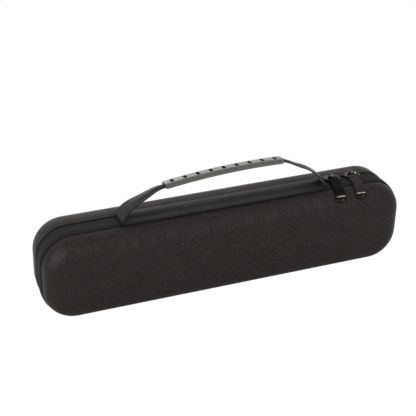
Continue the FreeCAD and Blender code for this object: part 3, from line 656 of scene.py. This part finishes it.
across = [HINGE_HALF * (k / 20 - 1) for k in range(41)]
rows, places = [], []
for step in range(HINGE_STEPS + 1):
    y = HINGE_NEAR + (HINGE_FAR - HINGE_NEAR) * step / HINGE_STEPS
    thin = HINGE_THIN if step in (0, HINGE_STEPS) else 0
    rows.append([(x, y, HINGE_LOW + thin) for x in across] + [(x, y, HINGE_THICK - thin) for x in across[::-1]])
    places.append([(y, x) for x in across + across[::-1] + across[:1]])
base_hinge = skin("base_hinge", rows, places, [band_cloth], tube=True, capped=True)
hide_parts("spine_hinge_front", "spine_hinge_back")
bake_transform(base_hinge)
for name, body, y in (("hinge_stitches_front", "case_front", -3.6 * MM),
                      ("hinge_stitches_back", "lid", 7.6 * MM)):
    row = stitches(name, [[((x, y, HINGE_THICK), (0, 0, 1)) for x in np.linspace(-HINGE_SEAM, HINGE_SEAM, 240)]])
    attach(row, body)


# Flute tray: a block of foam with flock on it, cut out for the three joints of the flute, with
# two round cut-outs to get fingers under a joint. Its cut edges are soft.

TRAY_ROUND = 1.1 * MM

# the CAD node's flat faces are joined, and then its edges are rounded
tray_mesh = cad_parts["flute_tray"].data.copy()
tray_mesh.materials.clear()
foam = bmesh.new()
foam.from_mesh(tray_mesh)
bmesh.ops.remove_doubles(foam, verts=foam.verts, dist=1e-6)
bmesh.ops.dissolve_limit(foam, angle_limit=math.radians(1), verts=foam.verts, edges=foam.edges)
sharp = [edge for edge in foam.edges if len(edge.link_faces) == 2 and edge.calc_face_angle() > math.radians(35)]
bmesh.ops.bevel(foam, geom=sharp, offset=TRAY_ROUND, offset_type="OFFSET", segments=3, profile=0.5,
                affect="EDGES", clamp_overlap=True)
foam.to_mesh(tray_mesh)
foam.free()
flock = new_finish("tray_flock", (40, 40, 43), 0.95, fuzz=(0.6, 0.4))
fibres = mottle(flock, (2300, 2300, 2300), 2.0, 0.7)
brushed = mottle(flock, (38, 60, 60), 3.0, 0.6)
tone(flock, mixed(flock, (brushed, 0.5), (fibres, 0.5)), (24, 24, 27), (50, 50, 54), 0.38, 0.62)
relief(flock, mixed(flock, (brushed, 0.6), base=fibres), 0.25 * MM)

foam_tray = dress("foam_tray", tray_mesh, [flock])
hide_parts("flute_tray")
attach(foam_tray, "case_front")


# Back shell: the lid, a shallower tray of the same foam and cloth as the front shell. Its rim is
# sewn straight to the back zip tape.

BACK_RIM, BACK_DEPTH = 6 * MM, 35 * MM
back_shell_cover = shell_cover("back_shell_cover", 1, BACK_RIM, BACK_DEPTH)
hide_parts("back_shell")
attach(back_shell_cover, "lid")


# Lid pad: a thin foam cushion covered in lining, pressed into the lid's floor. It is fullest in
# the middle and pulls in at its rounded edge.

PAD_FRONT, PAD_BACK, PAD_ROUND = 24.5 * MM, 30.4 * MM, 2.2 * MM
PAD_CROWN, PAD_EDGE = 1.2 * MM, 9.2 * MM

# the pad's section: from the middle of its front, round its edge, to the middle of its back
section = [(part, PAD_EDGE + PAD_ROUND, PAD_FRONT - PAD_CROWN * (1 - (1 - part) ** 3), 0.0)
           for part in (step / 8 for step in range(8, 0, -1))]
for turn in (math.pi / 2 * step / 5 for step in range(6)):
    section.append((0.0, PAD_EDGE + PAD_ROUND * (1 - math.sin(turn)),
                    PAD_FRONT + PAD_ROUND * (1 - math.cos(turn)), PAD_ROUND * turn))
section.append((0.0, PAD_EDGE + 3.6 * MM, PAD_BACK - 1.6 * MM, 5 * MM))
section += [(part, PAD_EDGE + 9.5 * MM, PAD_BACK, 12 * MM) for part in (0.0, 1.0)]
lid_cushion = skin("lid_cushion", *tray_rows(1, section), [lining_cloth], loop=True)
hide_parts("lid_pad")
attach(lid_cushion, "lid")


# Pocket net and its elastic top: an open knitted net sewn in round the lid's lower half, and a
# ribbed elastic that holds its top edge in.

NET_DEPTH, NET_BELLY = 11.9 * MM, 1.3 * MM
NET_CORNER, NET_LOW, NET_TOP = 29.7 * MM, 6.6 * MM, 60.5 * MM
NET_CELL, NET_STEP, NET_THREAD = 3.2 * MM, 2.2 * MM, 0.5 * MM

# zigzag threads side by side; each meets the next at its peaks, which leaves open cells
threads = []
inward = Vector((0, 1, 0))
for number in range(int((NET_TOP - NET_LOW) / NET_CELL) + 1):
    level = NET_LOW + number * NET_CELL
    below = max(0.0, CASE_CORNER - level)
    reach = HALF_BASE + math.sqrt(NET_CORNER ** 2 - below ** 2) - 0.5 * MM
    belly = NET_BELLY * math.sin(math.pi * (level - NET_LOW) / (NET_TOP - NET_LOW))
    steps = 2 * int(reach / NET_STEP)
    points = []
    for step in range(steps + 1):
        x = reach * (2 * step / steps - 1)
        up = level + (0.45 if (step + number) % 2 else -0.45) * NET_CELL
        up = min(max(up, NET_LOW - 0.2 * MM), NET_TOP)
        points.append(Vector((x, ZIP_Y + NET_DEPTH - belly * math.cos(x / reach * 1.4), up)))
    neighbours = zip(points[:1] + points, points, points[1:] + points[-1:])
    threads.append([circle(point, inward, inward.cross((after - before).normalized()), NET_THREAD / 2, 4)
                    for before, point, after in neighbours])
net_thread = thread_finish("net_thread", (24, 24, 25), (52, 52, 54))
pocket_net = tubes("pocket_net", threads, net_thread, sharp=60)
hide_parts("mesh_pocket")
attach(pocket_net, "lid")

ELASTIC_LOW, ELASTIC_HIGH, ELASTIC_HALF = 59.6 * MM, 69.4 * MM, 202.7 * MM
ELASTIC_FRONT, ELASTIC_BACK, ELASTIC_CORD = 11.2 * MM, 12.5 * MM, 0.14 * MM
ELASTIC_STEPS = 240
levels = [ELASTIC_LOW + (ELASTIC_HIGH - ELASTIC_LOW) * k / 8 for k in range(9)]
rows, places = [], []
for step in range(ELASTIC_STEPS + 1):
    x = ELASTIC_HALF * (2 * step / ELASTIC_STEPS - 1)
    middle = ZIP_Y + 0.12 * MM * math.sin(step * 1.7) + 0.1 * MM * math.sin(step * 0.63)
    front, back = ([(x, middle + depth + cord * (k % 2), level) for k, level in enumerate(levels)]
                   for depth, cord in ((ELASTIC_FRONT, ELASTIC_CORD), (ELASTIC_BACK, -ELASTIC_CORD)))
    rows.append(front + back[::-1])
    places.append([(z, x) for z in levels] + [(z + 0.01, x) for z in levels[::-1]] + [(levels[0], x)])
elastic_cloth = ribbed("elastic_cloth", (22, 22, 23), (52, 52, 54), 1.1, 0.6, 0.25, shine=0.1,
                       fuzz=(0.1, 0.5))
pocket_elastic_band = skin("pocket_elastic_band", rows, places, [elastic_cloth], tube=True, capped=True)
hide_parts("pocket_elastic")
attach(pocket_elastic_band, "lid")


# Webbing run: flat nylon webbing sewn along the top of the case, from one foot of the handle to
# the other. Towards its rear edge it arches over the zip.

WEBBING_WIDE, WEBBING_THICK = 25.4 * MM, 1.7 * MM
WEBBING_MIDDLE = -6.8 * MM
RUN_HALF, RUN_STEPS, RUN_POINTS = 121 * MM, 100, 18
RUN_LOW = CASE_HEIGHT + 0.05 * MM
CREST, CREST_LIFT, CREST_RISE = 3.0 * MM, 1.5 * MM, 9.5 * MM
PULLED_END, PULLED_LIFT = 8 * MM, 1.6 * MM


def webbing(name, dark, light, shine, fuzz):
    """Flat nylon webbing: plump lengthwise cords crossed by fine picks."""
    finish = new_finish(name, light, 0.5, shine, (fuzz, 0.3))
    place, across, along = cloth_map(finish)
    crossing = weave(finish, across, along, 1.15 * MM, 0.8 * MM)
    cords = wave(finish, across, 2.3 * MM)
    picks = mapped_noise(finish, place, (260, 1500, 1))
    slow = mapped_noise(finish, place, (90, 60, 1), 3.0)
    height = mixed(finish, (crossing, 0.35), (cords, 0.22), (picks, 0.4))
    tone(finish, mixed(finish, (height, 0.8), (slow, 0.35)), dark, light, 0.2, 0.85)
    relief(finish, height, 0.22 * MM)
    return finish


def strap_places(wide, steps, run):
    """Cloth places of one row round a flat strap: over its top, back under it, and closed."""
    widths = [wide * k / steps for k in range(steps + 1)]
    return [(width, run) for width in widths + widths[::-1] + widths[:1]]


def run_height(offset, x):
    """Height of the run's underside at an offset from its middle: flat, then arched over the zip."""
    if offset < CREST:
        rise = 0.5 + 0.5 * math.cos(math.pi * min(1.0, (CREST - offset) / CREST_RISE))
    else:
        rise = 1 - 0.95 * ((offset - CREST) / (WEBBING_WIDE / 2 - CREST)) ** 2
    ripple = 0.2 * MM * rise * (math.sin(x * 61) + 0.6 * math.sin(x * 147 + 1))
    pulled = max(0.0, (abs(x) - RUN_HALF) / PULLED_END + 1) ** 2
    return RUN_LOW + (CREST_LIFT + ripple) * rise * (1 - pulled) + PULLED_LIFT * pulled


run_webbing = webbing("run_webbing", (22, 22, 21), (55, 53, 50), 0.08, 0.03)
rows, places = [], []
for step in range(RUN_STEPS + 1):
    x = RUN_HALF * (2 * step / RUN_STEPS - 1)
    upper, lower = [], []
    for k in range(RUN_POINTS + 1):
        offset = WEBBING_WIDE * (k / RUN_POINTS - 0.5)
        edge = abs(2 * k / RUN_POINTS - 1) ** 10
        y, z = WEBBING_MIDDLE + offset, run_height(offset, x)
        upper.append((x, y, z + WEBBING_THICK * (1 - 0.28 * edge)))
        lower.append((x, y, z + WEBBING_THICK * 0.2 * edge))
    rows.append(upper + lower[::-1])
    places.append(strap_places(WEBBING_WIDE, RUN_POINTS, x))
handle_webbing = skin("handle_webbing", rows, places, [run_webbing], tube=True, capped=True)
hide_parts("handle_run")
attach(handle_webbing, "case_front")


def run_line(first, second):
    """A sewn line on top of the run, from one (x, offset) to another."""
    line = []
    for k in range(41):
        x, offset = (a + (b - a) * k / 40 for a, b in zip(first, second))
        line.append(((x, WEBBING_MIDDLE + offset, run_height(offset, x) + WEBBING_THICK), (0, 0, 1)))
    return line


SEW, REAR_SEW, SEW_HALF = -9.6 * MM, 3 * MM, 117 * MM
sewn = [run_line((-SEW_HALF, SEW), (SEW_HALF, SEW))]
for way in (-1, 1):
    near, far = way * 104 * MM, way * 116 * MM
    sewn += [run_line(*ends) for ends in (((near, SEW), (near, REAR_SEW)), ((near, REAR_SEW), (far, REAR_SEW)),
                                          ((near, SEW), (far, REAR_SEW)), ((near, REAR_SEW), (far, SEW)))]
handle_webbing_stitches = stitches("handle_webbing_stitches", sewn, 2.4 * MM, 0.9 * MM, 0.45 * MM)
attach(handle_webbing_stitches, "case_front")


# Handle straps: the same webbing as the run, its colour painted darker as shade, rising from each
# end of the run. Each strap is pinched together towards the grip, so that its sides fold and run to a
# narrow neck that goes into the grip.

HANDLE_SPAN = 240 * MM
HANDLE_LEAN = math.radians(15)
HANDLE_FOOT = np.array([0, WEBBING_MIDDLE, 100.8 * MM])
GRIP_LENGTH, GRIP_RADIUS, GRIP_HEIGHT = 138 * MM, 840 * MM, 34.1 * MM
GRIP_TILT, GRIP_SHIFT, GRIP_GAP = math.radians(2.7), 1.8 * MM, 0.3 * MM
NECK_WIDE, NECK_IN, FOLD_DEEP = 12 * MM, 2.5 * MM, 1.1 * MM
STRAP_FOOT, STRAP_STEPS, STRAP_POINTS, STRAP_SPLIT = 1.8 * MM, 48, 24, 17
STRAP_SHARES = {
    "left": ((0, 0.1, 0.22, 0.45, 0.72, 0.86, 1), (0, 0.2, 0.43, 0.61, 0.85, 0.975, 1)),
    "right": ((0.025, 0.055, 0.18, 0.44, 0.67, 0.84, 1), (0, 0.19, 0.36, 0.655, 0.76, 0.93, 1)),
}


def smooth_line(poles, count):
    """Points on a clamped cubic spline through its poles' pull, with their directions."""
    inner = len(poles) - 4
    knots = [0] * 4 + [k + 1 for k in range(inner)] + [inner + 1] * 4
    line = []
    for t in np.linspace(0, inner + 1, count):
        first = min(int(t), inner)
        points = poles[first:first + 4]
        for level in (1, 2, 3):
            points = [a + (b - a) * (t - low) / (high - low) for a, b, low, high
                      in zip(points, points[1:], knots[first + level:], knots[first + 4:])]
        line += points
    return np.array(line), unit(np.gradient(line, axis=0))


def strap_rows(hand, way):
    """All sections of one strap from its foot to its neck, with the cloth's places."""
    rise = GRIP_HEIGHT - (GRIP_RADIUS - math.sqrt(GRIP_RADIUS ** 2 - GRIP_LENGTH ** 2 / 4))
    rise += way * GRIP_LENGTH / 2 * math.tan(GRIP_TILT)
    reach = (HANDLE_SPAN - GRIP_LENGTH) / 2 - GRIP_GAP - way * GRIP_SHIFT
    poles = [HANDLE_FOOT + np.array([way * (HANDLE_SPAN / 2 - reach * run), rise * up * math.sin(HANDLE_LEAN),
                                     STRAP_FOOT + (rise * math.cos(HANDLE_LEAN) - STRAP_FOOT) * up])
             for run, up in zip(*STRAP_SHARES[hand])]
    line, ways = smooth_line(poles, STRAP_STEPS + 1)
    line = np.vstack([line, line[-1] + ways[-1] * NECK_IN])
    ways = np.vstack([ways, ways[-1:]])
    rows, places = [], []
    length = 0.0
    for number, (point, direction) in enumerate(zip(line, ways)):
        part = min(number / STRAP_STEPS, 1.0)
        if number:
            length += float(np.linalg.norm(point - line[number - 1]))
        lean = HANDLE_LEAN * part
        across = np.array([0, math.cos(lean), -math.sin(lean)])
        out = unit(np.cross(direction, across) * -way)
        wide = WEBBING_WIDE + (NECK_WIDE - WEBBING_WIDE) * part
        fold = FOLD_DEEP * max(0.0, (part - 0.12) / 0.88) ** 0.8
        upper, lower = [], []
        for k in range(STRAP_POINTS + 1):
            v = 2 * k / STRAP_POINTS - 1
            lift = fold * (math.cos(math.pi * abs(v) ** 1.3 * 1.25) - 0.4) * 0.6
            thick = WEBBING_THICK * (1 - 0.25 * abs(v) ** 10) / 2
            upper.append(point + across * v * wide / 2 + out * (lift + thick))
            lower.append(point + across * v * wide / 2 + out * (lift - thick))
        rows.append(upper + lower[::-1])
        places.append(strap_places(WEBBING_WIDE, STRAP_POINTS, length))
    return rows, places


# the run's webbing, painted darker as shade
strap_webbing_painted_darker = webbing("strap_webbing_painted_darker", (16, 16, 15), (42, 41, 38), 0.06, 0.35)
for hand, way in (("left", -1), ("right", 1)):
    rows, places = strap_rows(hand, way)
    ends = (("foot", slice(STRAP_SPLIT + 1)), ("neck", slice(STRAP_SPLIT, None)))
    lower, upper = (skin("strap_%s_%s" % (hand, end), rows[part], places[part], [strap_webbing_painted_darker],
                         tube=True, capped=True) for end, part in ends)
    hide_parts("handle_strap_" + hand)
    top, neck = (Vector(np.mean(rows[k], axis=0)) for k in (STRAP_SPLIT, -2))
    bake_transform(lower)
    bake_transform(upper)


# Grip: a moulded rubber bar on a shallow arc, hollow for the webbing that runs through it. Nine
# narrow slots cross its top, and a groove runs along each side.

GRIP_WIDE, GRIP_THICK, GRIP_EDGE = 14.2 * MM, 6.4 * MM, 1.5 * MM
GRIP_CROWN, TOP_POINTS = 0.12 * MM, 20
SLOT_WIDE, SLOT_DEEP, SLOT_SPACE, SLOT_COUNT, SLOT_WALL = 3.6 * MM, 2.2 * MM, 15 * MM, 9, 0.15 * MM
GRIP_GROOVE = ((1.75, 0.2), (1.6, 1.0), (1.0, 1.0), (0.7, 0.0), (0.3, -0.3), (-0.2, -0.05), (-1.0, 0.1))
# the left end as (way in, shrink), from inside its hollow, round its rim, to its full size
GRIP_RIM = ((3.5, 1.5), (0.15, 1.3), (0.0, 1.0), (0.05, 0.7), (0.3, 0.35), (0.8, 0.1), (1.6, 0.0))
grip_frame = (
    Matrix.Translation(Vector(HANDLE_FOOT))
    @ Matrix.Rotation(-HANDLE_LEAN, 4, "X")
    @ Matrix.Translation((GRIP_SHIFT, 0, GRIP_HEIGHT))
    @ Matrix.Rotation(-GRIP_TILT, 4, "Y")
    @ Matrix.Translation((0, 0, -GRIP_RADIUS))
)
slot_middles = [SLOT_SPACE * (k - (SLOT_COUNT - 1) / 2) for k in range(SLOT_COUNT)]


def grip_section(shrink):
    """The bar's section as (across, up): round edges, a slightly crowned top."""
    half_w, half_t = GRIP_WIDE / 2 - shrink, GRIP_THICK / 2 - shrink
    edge = min(GRIP_EDGE, half_t * 0.95)
    points = []
    for k in range(17):
        across = (half_w - edge) * (k / 8 - 1)
        points.append((across, half_t + GRIP_CROWN * (1 - (across / half_w) ** 2)))
    groove = [(half_w - sink * MM, up * MM * half_t / GRIP_THICK * 2) for up, sink in GRIP_GROOVE]
    other_groove = [(-across, up) for across, up in groove[::-1]]
    corners = ((1, 1, 90, groove), (1, -1, 0, []), (-1, -1, -90, other_groove), (-1, 1, -180, []))
    for right, up, first, following in corners:
        for k in range(1, 8):
            angle = math.radians(first - 90 * k / 7)
            points.append((right * (half_w - edge) + edge * math.cos(angle),
                           up * (half_t - edge) + edge * math.sin(angle)))
        points += following
    return points


def in_slot(place):
    """Whether a place along the grip lies in one of its slots."""
    return any(abs(place - middle) <= SLOT_WIDE / 2 + 1e-7 for middle in slot_middles)


def grip_part(i, j):
    """1 for the faces of the slots and of the hollow ends, painted near black as shade, and 0 for the outside.
    """
    hollow = i < 2 or i >= len(stations) - 3
    return int(hollow or j < TOP_POINTS and (in_slot(stations[i][0]) or in_slot(stations[i + 1][0])))


along_grip = set(np.linspace(4 * MM - GRIP_LENGTH / 2, GRIP_LENGTH / 2 - 4 * MM, 60))
for middle in slot_middles:
    for half in (SLOT_WIDE / 2, SLOT_WIDE / 2 + SLOT_WALL):
        along_grip |= {middle - half, middle + half}
rim = [(inward * MM - GRIP_LENGTH / 2, shrink * MM) for inward, shrink in GRIP_RIM]
stations = rim + [(place, 0.0) for place in sorted(along_grip)]
stations += [(-place, shrink) for place, shrink in rim[::-1]]
rows, places = [], []
for place, shrink in stations:
    row = []
    for k, (across, up) in enumerate(grip_section(shrink)):
        if in_slot(place) and 0 < k < TOP_POINTS:
            up = min(up, GRIP_THICK / 2 - SLOT_DEEP)
        radius, angle = GRIP_RADIUS + up, place / GRIP_RADIUS
        row.append(grip_frame @ Vector((radius * math.sin(angle), across, radius * math.cos(angle))))
    rows.append(row)
    places.append([(MM * k, place) for k in range(len(row) + 1)])
# the top is painted paler as light and the underside darker as shade; scuffs and pores vary the tone
grip_rubber = new_finish("grip_rubber", (60, 60, 60), 0.35)
pores = mottle(grip_rubber, (1300, 1300, 1300))
scuffs = mottle(grip_rubber, (40, 300, 300), 3.0)
scuffs_and_painted_top_light = mixed(grip_rubber, (scuffs, 0.2), (pores, 0.15), (facing_up(grip_rubber), 0.5), base=0.325)
tone(grip_rubber, scuffs_and_painted_top_light, (30, 30, 29), (113, 111, 107), 0.0, 1.0)
relief(grip_rubber, mixed(grip_rubber, (scuffs, 0.5), base=pores), 0.04 * MM)
rough = node(grip_rubber, "MapRange",
             {"Value": scuffs, "From Min": 0.3, "From Max": 0.7, "To Min": 0.3, "To Max": 0.42})
feed(grip_rubber, rough.outputs["Result"], "Principled BSDF", "Roughness")
# slots and hollow ends: the rubber painted near black, as the shade inside them
grip_painted_shade = grained("grip_painted_shade", (9, 9, 9), 0.7, (900, 900, 900), 2.0, (3, 3, 3), (8, 8, 8), 0.25, 0.75,
                      shine=0.1)
grip = skin("grip", rows, places, [grip_rubber, grip_painted_shade], tube=True, capped=True, choose=grip_part)
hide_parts("handle_grip")
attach(grip, "handle_grip")


# Zip sliders: cast metal painted gloss black. Their sharp edges are coloured bright, partly as worn
# paint and partly as painted glints. They keep their CAD shape, with its edges eased.

slider_paint = new_finish("slider_paint", (12, 12, 13), 0.12, 0.3)
# sharp edges coloured bright: worn paint and painted glints
wear_and_painted_glint = node(slider_paint, "NewGeometry").outputs["Pointiness"]
speckle = mottle(slider_paint, (700, 700, 700), 3.0, 0.6)
tone(slider_paint, mixed(slider_paint, (wear_and_painted_glint, 0.8), (speckle, 0.25)), (7, 7, 8), (112, 109, 103), 0.6, 0.8)
relief(slider_paint, speckle, 0.02 * MM)
for hand in ("left", "right"):
    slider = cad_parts["slider_" + hand]
    slider.data.materials.clear()
    slider.data.materials.append(slider_paint)
    slider.data.shade_smooth()
    slider.data.set_sharp_from_angle(angle=math.radians(30))
    easing = slider.modifiers.new("eased_edges", "BEVEL")
    easing.width = 0.22 * MM
    easing.segments = 2
    easing.limit_method = "ANGLE"
    easing.angle_limit = math.radians(32)


# Pull rings: dark nickel wire bent to a D and closed. The round side hangs in the slider's
# staple, and the ribbon is folded round the straight side.

PULL_X = {"left": 135 * MM, "right": 160 * MM}
PULL_TURN = math.radians(-8)
RING_RADIUS, RING_CORNER, RING_WIRE, RING_UP = 7.5 * MM, 1.2 * MM, 1.6 * MM, 3.05 * MM
RING_REACH, RING_SIDES = RING_RADIUS + RING_CORNER, 14


def pull_place(hand):
    """Where a pull stands: on its slider, turned a little to the left."""
    return Matrix.Translation((PULL_X[hand], ZIP_Y, CASE_HEIGHT)) @ Matrix.Rotation(PULL_TURN, 4, "Z")


def ring_line():
    """The ring's line in its own plane, closed: a half circle, two corners and a straight side."""
    flat = RING_RADIUS - RING_CORNER
    half, left, right = ([(x + radius * math.cos(turn), radius * math.sin(turn) - RING_RADIUS)
                          for turn in np.linspace(first * math.pi, last * math.pi, count)]
                         for x, radius, first, last, count in (
                             (0, RING_RADIUS, 0, 1, 29), (-flat, RING_CORNER, 1, 1.5, 6),
                             (flat, RING_CORNER, 1.5, 2, 6)))
    return half + left[1:] + [(flat * (k / 4 - 1), -RING_REACH) for k in range(1, 9)] + right[1:-1]


ring_metal = grained("ring_metal", (58, 57, 55), 0.1, (500, 500, 2200), 3.0, (36, 35, 34), (88, 86, 83),
                     0.3, 0.6, 0.015, metal=1.0)
for hand in ("left", "right"):
    line = [Vector((x, y, RING_UP)) for x, y in ring_line()]
    rows = []
    for number, point in enumerate(line):
        way = (line[(number + 1) % len(line)] - line[number - 1]).normalized()
        spots = circle(point, Vector((way.y, -way.x, 0)), Vector((0, 0, 1)), RING_WIRE / 2, RING_SIDES)
        rows.append([pull_place(hand) @ spot for spot in spots])
    places = [[(k / RING_SIDES, number / len(line)) for k in range(RING_SIDES + 1)]
              for number in range(len(line) + 1)]
    ring = skin("pull_wire_" + hand, rows, places, [ring_metal], loop=True, tube=True)
    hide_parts("pull_ring_" + hand)
    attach(ring, hand + "_ring")


# Pull ribbons: grosgrain ribbon folded round the ring's straight side, laid double over the
# case's round edge, sewn through, and crimped into the end cap.

RIBBON_WIDE, RIBBON_THICK, RIBBON_STEPS = 10.9 * MM, 1.05 * MM, 12
RIBBON_HALF, RIBBON_BOW = 0.6 * MM, 1.5 * MM
RIBBON_RADIUS = 21.8 * MM
RIBBON_END = math.radians(40)
BAR = Vector((0, -RING_REACH, RING_UP))
EDGE_MIDDLE = Vector((0, -22 * MM, -20.0785 * MM))
reach_to_bar = BAR - EDGE_MIDDLE
TOUCH = math.acos(RIBBON_RADIUS / reach_to_bar.length) - math.atan2(reach_to_bar.y, reach_to_bar.z)


def round_way(angle):
    """Away from the case's round edge, at an angle forward of straight up."""
    return Vector((0, -math.sin(angle), math.cos(angle)))


def ribbon_line():
    """Middle line and outward directions of the folded ribbon, from its lower to its upper end."""
    turns = [TOUCH + (RIBBON_END - TOUCH) * part for part in np.linspace(1.12, 0, 12)]
    touch = EDGE_MIDDLE + round_way(TOUCH) * RIBBON_RADIUS
    way = (touch - BAR).normalized()
    out = Vector((0, way.z, -way.y))
    low, high = RIBBON_RADIUS - RIBBON_HALF, RIBBON_RADIUS + RIBBON_HALF
    line = [(EDGE_MIDDLE + round_way(turn) * low, -round_way(turn)) for turn in turns]
    line += [(BAR.lerp(touch, part) - out * RIBBON_HALF, -out) for part in (0.8, 0.6, 0.4, 0.2)]
    for turn in np.linspace(0, math.pi, 9):
        way_out = -out * math.cos(turn) - way * math.sin(turn)
        line.append((BAR + way_out * RIBBON_BOW * (0.75 + 0.25 * math.sin(turn)), way_out))
    line += [(BAR.lerp(touch, part) + out * RIBBON_HALF, out) for part in (0.2, 0.4, 0.6, 0.8)]
    return line + [(EDGE_MIDDLE + round_way(turn) * high, round_way(turn)) for turn in turns[::-1]]


ribbon_finishes = {
    "left": ribbed("ribbon_dark", (5, 5, 6), (20, 19, 21), 1.25, 0.7, 0.3, shine=0.05),
    "right": ribbed("ribbon_brown", (24, 20, 19), (60, 53, 50), 1.25, 0.7, 0.3, shine=0.08,
                    fuzz=(0.03, 0.5)),
}
for hand, slot in (("left", "pull_ribbon_dark"), ("right", "pull_ribbon_brown")):
    pull = pull_place(hand)
    rows, places = [], []
    length = 0.0
    line = ribbon_line()
    for number, (point, out) in enumerate(line):
        if number:
            length += (point - line[number - 1][0]).length
        upper, lower = [], []
        for k in range(RIBBON_STEPS + 1):
            share = k / RIBBON_STEPS - 0.5
            spot = point + Vector((RIBBON_WIDE * share, 0, 0))
            thick = out * (RIBBON_THICK / 2 * (1 - 0.3 * abs(2 * share) ** 8))
            upper.append(pull @ (spot + thick))
            lower.append(pull @ (spot - thick))
        rows.append(upper + lower[::-1])
        places.append(strap_places(RIBBON_WIDE, RIBBON_STEPS, length))
    ribbon = skin("ribbon_" + hand, rows, places, [ribbon_finishes[hand]], tube=True, capped=True)
    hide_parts("pull_ribbon_" + hand)
    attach(ribbon, hand + "_tab")
    sewn = []
    for turn in (TOUCH + 0.02, RIBBON_END - 0.05):
        spot = EDGE_MIDDLE + round_way(turn) * (RIBBON_RADIUS + 1.1 * MM)
        sewn.append([(pull @ (spot + Vector((x, 0, 0))), pull.to_3x3() @ round_way(turn))
                     for x in np.linspace(1 * MM - RIBBON_WIDE / 2, RIBBON_WIDE / 2 - 1 * MM, 12)])
    seam = stitches("ribbon_stitches_" + hand, sewn, 1.5 * MM, 0.5 * MM, 0.32 * MM)
    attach(seam, hand + "_tab")


# End caps: black glossy cord ends closed over the ribbon and pressed flat, with a collar at the mouth
# and a groove below it. The collar's pale cream colour is a painted highlight.

CAP_TURN, CAP_WIDE, CAP_THICK, CAP_SIDES = math.radians(18), 11.4 * MM, 3.4 * MM, 28
CAP_SHAPE = ((0, 0.7), (0.02, 0.92), (0.07, 1.0), (0.16, 1.0), (0.21, 0.93), (0.25, 0.74), (0.31, 0.7),
             (0.37, 0.76), (0.46, 0.9), (0.58, 0.99), (0.68, 1.0), (0.78, 0.96), (0.88, 0.84), (0.95, 0.66),
             (0.99, 0.44), (1.0, 0.3))
cap_plastic = grained("cap_gloss", (8, 8, 9), 0.08, (600, 600, 600), 2.0, (6, 6, 7), (14, 14, 15),
                      depth=0.004, shine=0.14)
# the collar's cream colour is a painted highlight along the cap's mouth
cap_collar_painted_highlight = grained("cap_collar_painted_highlight", (200, 191, 168), 0.3, (900, 300, 900), 2.0, (162, 153, 131), (214, 205, 183))
for hand in ("left", "right"):
    rows, places = [], []
    for part, full in CAP_SHAPE:
        away = round_way(RIBBON_END + CAP_TURN * part)
        half_w = CAP_WIDE / 2 * (1 - 0.22 * max(0.0, (part - 0.7) / 0.3) ** 2.5) * (0.94 + 0.06 * full)
        half_t = CAP_THICK / 2 * full
        row = []
        for k in range(CAP_SIDES):
            turn = 2 * math.pi * k / CAP_SIDES
            x = half_w * math.copysign(abs(math.cos(turn)) ** 0.8, math.cos(turn))
            spot = EDGE_MIDDLE + away * (RIBBON_RADIUS + half_t * math.sin(turn))
            row.append(pull_place(hand) @ (spot + Vector((x, 0, 0))))
        rows.append(row)
        places.append([(k / CAP_SIDES, part) for k in range(CAP_SIDES + 1)])
    cap = skin("end_cap_" + hand, rows, places, [cap_plastic, cap_collar_painted_highlight], tube=True, capped=True,
               choose=lambda i, j: int(i < 3))
    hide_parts("pull_cap_" + hand)
    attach(cap, hand + "_tab")
